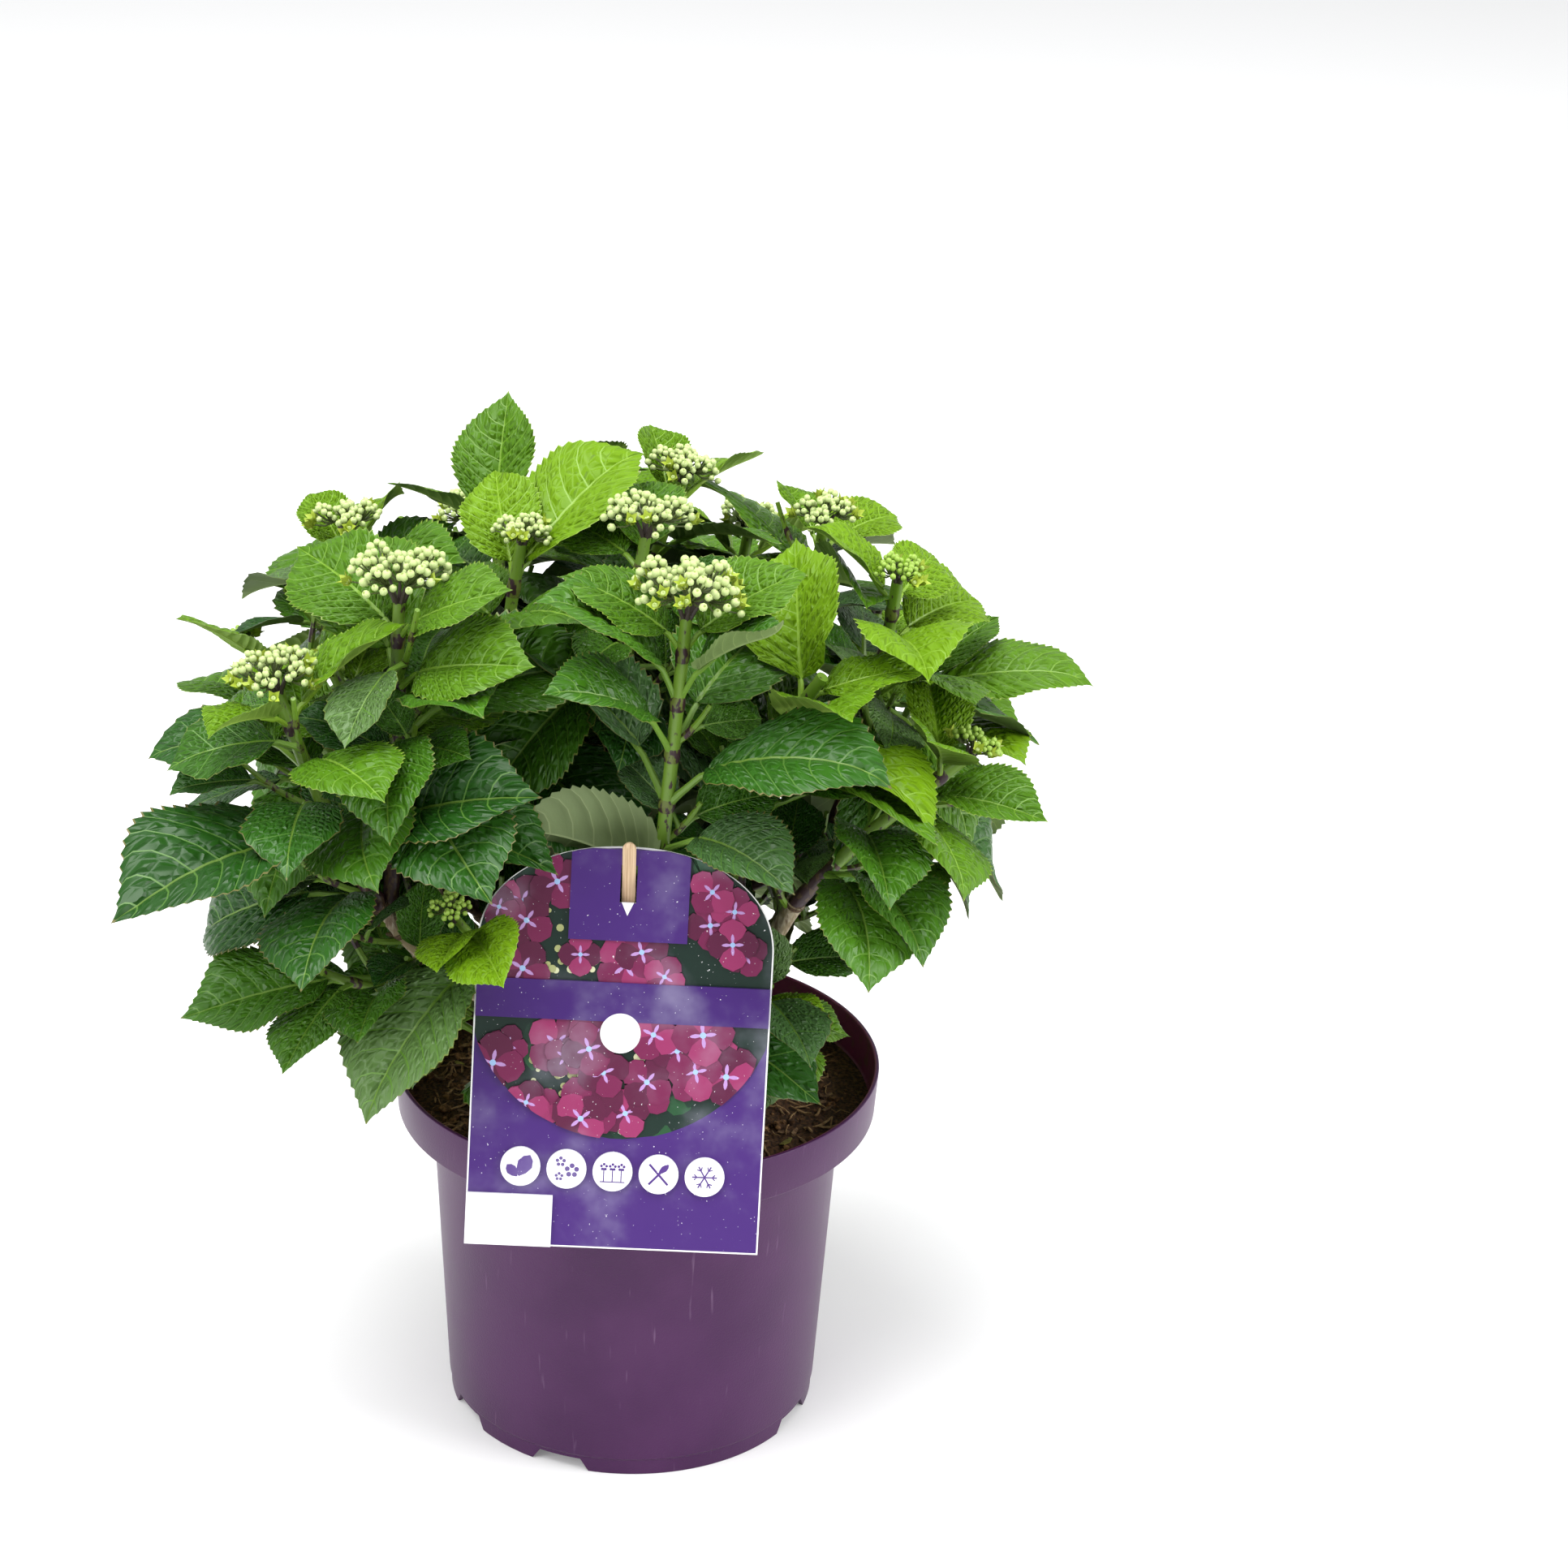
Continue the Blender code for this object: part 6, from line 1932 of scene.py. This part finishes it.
def print_flowers(sheet, draw):
    """Leaves, small pale buds and four-petalled florets, dealt out over the picture."""
    low, high = PICTURE_MIDDLE[1] - PICTURE_RADIUS + 0.004, TAG_HEIGHT - 0.010
    for _ in range(LEAF_COUNT):
        middle = (draw.uniform(-0.05, 0.05), draw.uniform(low, high))
        if inside_picture(middle, 0.007):
            outline = petal(middle, draw.uniform(0, math.tau), draw.uniform(0.010, 0.018), 0.008)
            sheet.lay(clipped(outline), draw.choice(("print_leaf", "print_dark_leaf")))
    for _ in range(DOT_COUNT):
        middle = (draw.gauss(-0.022, 0.016), draw.gauss(0.078, 0.022))
        if inside_picture(middle, 0.003):
            outline = circle(middle, draw.uniform(0.0008, 0.0019), 10)
            sheet.lay(outline, draw.choice(("print_cream", "print_bud")))
    pairs = (("print_wine", "print_berry"), ("print_berry", "print_rose"), ("print_wine", "print_rose"))
    for _ in range(FLORET_COUNT):
        middle = (draw.uniform(-0.050, 0.044), draw.uniform(low + 0.003, high))
        if draw.random() < 0.35 or not inside_picture(middle, 0.0015):
            continue
        size, turn = draw.uniform(0.0080, 0.0122), draw.uniform(0, QUARTER)
        shades = draw.choice(pairs)
        for quarter in range(4):
            outline = petal(middle, turn + QUARTER * quarter, size, size * 1.05)
            sheet.lay(clipped(outline), shades[quarter % 2])
        for quarter in range(4):
            ray = petal(middle, turn + QUARTER * quarter, size * 0.42, size * 0.13)
            sheet.lay(clipped(ray), "print_glow", THIN_LAYER)
        sheet.lay(circle(middle, size * 0.10, 10), "print_eye")


def stroke(start, end, wide):
    """A thin bar between two places."""
    run = Vector(end) - Vector(start)
    side = Vector((-run.y, run.x)).normalized() * wide / 2
    corners = [Vector(start) - side, Vector(end) - side, Vector(end) + side, Vector(start) + side]
    return [(corner.x, corner.y) for corner in corners]


def small_flower(sheet, middle, size):
    for turn in turns(5):
        place = shifted(middle, *polar(size, turn + 0.3))
        sheet.lay(circle(place, size * 0.52, 10), "print_violet", 0.0)
    sheet.lay(circle(middle, size * 0.42, 10), "print_white")


def print_signs(sheet):
    """Five white discs with plain signs: a leaf, flowers, flowers on stems, a crossed twig and a star."""

    def sign(outline, rise=LAYER):
        sheet.lay(outline, "print_violet", rise)

    places = [(DISC_PITCH * (i - 2) - 0.0008, DISC_HEIGHT - 0.0003 * (i - 2)) for i in range(5)]
    for place in places:
        sheet.lay(circle(place, DISC_RADIUS), "print_white")
    leaf, flowers, stems, twig, star = places
    sign(petal(shifted(leaf, -0.0008, -0.004), 1.1, 0.0095, 0.0058))
    sign(petal(shifted(leaf, -0.0008, -0.004), 2.3, 0.0062, 0.0040))
    for x, y, size in ((-0.0022, 0.0028, 0.0013), (0.0020, -0.0004, 0.0018), (-0.0026, -0.0028, 0.0011)):
        small_flower(sheet, shifted(flowers, x, y), size)
    for shift in (-0.0032, 0.0, 0.0032):
        sign(stroke(shifted(stems, shift, -0.0038), shifted(stems, shift, 0.0018), SIGN_LINE))
        small_flower(sheet, shifted(stems, shift, 0.0018), 0.0010)
    sign(stroke(shifted(stems, -0.0046, -0.0038), shifted(stems, 0.0046, -0.0038), SIGN_LINE))
    sign(petal(shifted(twig, -0.0002, 0.0002), 0.75, 0.0052, 0.0024))
    for x in (0.0035, -0.0035):
        sign(stroke(shifted(twig, x, -0.0038), shifted(twig, -x, 0.0038), 2 * SIGN_LINE))
    for turn in turns(6):
        way = Vector(polar(1.0, turn))
        sign(stroke(star, Vector(star) + way * 0.0046, 0.0005), THIN_LAYER)
        knee = Vector(star) + way * 0.0028
        for fork in (-0.8, 0.8):
            sign(stroke(knee, knee + Vector(polar(1.0, turn + fork)) * 0.0015, SIGN_LINE), THIN_LAYER)


def print_finishes():
    shades = {
        "card_white": (0.80, 0.80, 0.80),
        "print_ground": (0.050, 0.014, 0.145),
        "print_banner": (0.042, 0.010, 0.130),
        "print_violet": (0.074, 0.030, 0.190),
        "print_white": (0.80, 0.80, 0.82),
        "print_dark": (0.006, 0.020, 0.014),
        "print_leaf": (0.016, 0.070, 0.026),
        "print_dark_leaf": (0.008, 0.032, 0.018),
        "print_cream": (0.60, 0.62, 0.38),
        "print_bud": (0.36, 0.38, 0.16),
        "print_wine": (0.085, 0.008, 0.038),
        "print_berry": (0.150, 0.012, 0.062),
        "print_rose": (0.260, 0.026, 0.105),
        "print_glow": (0.420, 0.240, 0.520),
        "print_eye": (0.300, 0.450, 0.700),
    }
    made = []
    for name, shade in shades.items():
        finish = Finish(name, shade, 0.34, Specular_IOR_Level=0.34)
        # haze paints patches of reflected light into the print's colour, a paler, bluish painted reflection;
        # it also varies the roughness and bump.
        haze = finish.noise(34.0, 4.0)
        specks = finish.noise(1300.0, 1.0).between(0.755, 0.785)
        with_painted_reflection = finish.blend(haze.between(0.46, 0.80) * 0.27, shade, (0.55, 0.54, 0.68))
        finish.colour(finish.blend(specks * 0.8, with_painted_reflection, (0.85, 0.85, 0.88)))
        finish.rough(haze * 0.3 + 0.2)
        finish.bump(haze, 0.0003)
        made.append(finish.material)
    return by_name(made)


def dress_tag():
    """The printed card: a violet ground with a white edge, bare fields, a flower picture and the signs."""
    sheet = Print()
    card = Mass()
    card.add(*plate(tag_outline(), -TAG_THICKNESS / 2, TAG_THICKNESS / 2), "card_white")
    sheet.lay_round_slot(tag_outline(PRINT_EDGE), "print_ground")
    picture = picture_outline(PICTURE_MIDDLE[1] - PICTURE_RADIUS + 0.00005, PICTURE_TOP)
    sheet.lay_round_slot(picture, "print_dark")
    print_flowers(sheet, random.Random("flower picture"))
    sheet.level += PICTURE_LAYERS
    sheet.lay(box(-BANNER_HALF, BANNER_HALF, BANNER_LOW, BANNER_HIGH), "print_banner")
    crest = picture_outline(CREST_FOOT, PICTURE_TOP, CREST_LEFT, CREST_RIGHT)
    sheet.lay_round_slot(crest, "print_ground")
    sheet.lay(circle(BIG_DISC, BIG_DISC_RADIUS), "print_white")
    sheet.lay(box(-TAG_WIDTH / 2 + 0.0001, PANEL_RIGHT, 0.0001, PANEL_HIGH), "print_white")
    print_signs(sheet)
    middle = TAG_HEIGHT - SLOT_DROP - SLOT_LENGTH / 2
    flap = [(0.0, middle - FLAP_DROP), (FLAP_HALF, middle + FLAP_RISE), (-FLAP_HALF, middle + FLAP_RISE)]
    sheet.lay(flap, "print_white")

    finishes = print_finishes()
    made = card.make("card", finishes, "tag", crease=CARD_CREASE)
    slot = box(-SLOT_WIDTH / 2, SLOT_WIDTH / 2, SLOT_LOW, SLOT_HIGH)
    cut_out(made, [link_out("slot", *plate(slot, -CUT_PAST, CUT_PAST))])
    made.data.set_sharp_from_angle(angle=math.radians(CARD_CREASE))
    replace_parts(made, "care_tag")
    sheet.mass.make("card_print", finishes, "tag", crease=CARD_CREASE)


STICK_SIDES, STICK_ROWS, STICK_TOP_ROWS = 16, 60, 12
STICK_BURIED = 0.004
STICK_SQUARE = (0.35, 0.5)  # how square its section is, across and through
STICK_WEAR = STICK_THICKNESS * 0.32 * 0.25


def dress_stick():
    """A flat wooden stick with worn edges and a round top, through the card's slot."""
    crossing = tag_place() @ Vector((0.0, TAG_HEIGHT - SLOT_DROP, 0.0))
    top = (tag_place() @ Vector((0.0, TAG_HEIGHT, 0.0))).z + STICK_ABOVE_TAG
    half = STICK_WIDTH / 2
    foot = SOIL_LEVEL - STICK_BURIED
    heights = [foot + (top - half - foot) * i / STICK_ROWS for i in range(STICK_ROWS)]
    heights += [top - half + half * math.sin(QUARTER * i / STICK_TOP_ROWS) for i in range(STICK_TOP_ROWS)]
    points = []
    for height in heights:
        rise = max(height - (top - half), 0.0)
        wide = math.sqrt(max(half * half - rise * rise, 1e-9))
        wide *= 1 + 0.03 * noise.noise((0.0, 0.0, height * 90))
        for turn in turns(STICK_SIDES):
            ways = zip(polar(1.0, turn), STICK_SQUARE)
            x, y = (math.copysign(abs(way) ** power, way) for way, power in ways)
            x, y = x * wide, y * STICK_THICKNESS / 2 * (1 - 0.3 * rise / half)
            wear = STICK_WEAR * noise.noise((x * 1200, y * 1200, height * 60))
            points.append((crossing.x + x, crossing.y + y + wear, height))
    points.append((crossing.x, crossing.y, top))
    mass = Mass()
    mass.add(points, tip_faces(len(heights), STICK_SIDES), "stick_wood")
    wood = Finish("stick_wood", (0.60, 0.42, 0.26), 0.65)
    grain = wood.noise(1500.0, 5.0, (1.0, 1.0, 0.025))
    stain = wood.noise(90.0, 2.0, (1.0, 1.0, 0.5))
    plain = wood.blend(grain.between(0.35, 0.65), (0.46, 0.30, 0.17), (0.68, 0.50, 0.32))
    wood.colour(wood.blend(stain.between(0.5, 0.75) * 0.6, plain, (0.38, 0.25, 0.15)))
    wood.bump(grain, 0.0003)
    made = mass.make("stick_fine", {"stick_wood": wood.material}, "stick")
    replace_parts(made, "tag_stick")


# -------------------- light and camera
LENS = 78.1
EYE = (0.0, -1.19, 0.769)
PITCH, YAW, ROLL = math.radians(23.02), math.radians(2.57), math.radians(2.17)


FLOOR_HALF = 7.0
FLOOR_SHADE, FLOOR_GLOW = 0.76, 0.16
SKY_STRENGTH = 0.57
LAMP_AIM = Vector((0.0, 0.0, 0.2))
# Place, width and height, and watts.
LAMPS = {
    "overhead": ((-0.6, -0.4, 3.2), (2.8, 2.8), 148.0),
    "left_front": ((-3.0, -2.2, 1.8), (1.8, 2.6), 66.0),
    "right_side": ((3.0, -1.0, 1.6), (1.8, 2.6), 98.0),
}


def make_floor():
    mesh = bpy.data.meshes.new("floor")
    corners = [(x * FLOOR_HALF, y * FLOOR_HALF, 0) for x, y in ((-1, -1), (1, -1), (1, 1), (-1, 1))]
    mesh.from_pydata(corners, [], [(0, 1, 2, 3)])
    glow = {"Emission_Color": (1.0, 1.0, 1.0, 1.0), "Emission_Strength": FLOOR_GLOW}
    mesh.materials.append(soft_finish("pale_floor", (FLOOR_SHADE,) * 3, 0.9, 40.0, 0.0001, **glow))
    linked("floor", mesh)


def make_light():
    world = bpy.data.worlds.new("studio")
    world.use_nodes = True
    sky = world.node_tree.nodes["Background"]
    sky.inputs["Color"].default_value = (0.98, 0.99, 1.0, 1.0)
    sky.inputs["Strength"].default_value = SKY_STRENGTH
    bpy.context.scene.world = world
    for name, (place, size, watts) in LAMPS.items():
        lamp = bpy.data.lights.new(name, "AREA")
        lamp.shape = "RECTANGLE"
        lamp.size, lamp.size_y = size
        lamp.energy = watts
        made = linked(name, lamp)
        made.location = place
        made.rotation_euler = (LAMP_AIM - Vector(place)).to_track_quat("-Z", "Y").to_euler()


def make_camera():
    camera = bpy.data.cameras.new("camera")
    camera.lens = LENS
    camera.sensor_width = 36.0
    made = linked("camera", camera)
    ahead = Vector((math.sin(YAW) * math.cos(PITCH), math.cos(YAW) * math.cos(PITCH), -math.sin(PITCH)))
    right = Vector((math.cos(YAW), -math.sin(YAW), 0.0))
    up = right.cross(ahead)
    rolled_up = math.cos(ROLL) * up - math.sin(ROLL) * right
    turn = Matrix((way_at(ROLL, right, up), rolled_up, -ahead)).transposed()
    made.matrix_world = Matrix.Translation(EYE) @ turn.to_4x4()
    bpy.context.scene.camera = made


dress_canes(dress_plant(plant_finishes()))
dress_pot()
dress_soil()
dress_tag()
dress_stick()
make_floor()
make_light()
make_camera()
bpy.context.scene.view_settings.view_transform = "Standard"
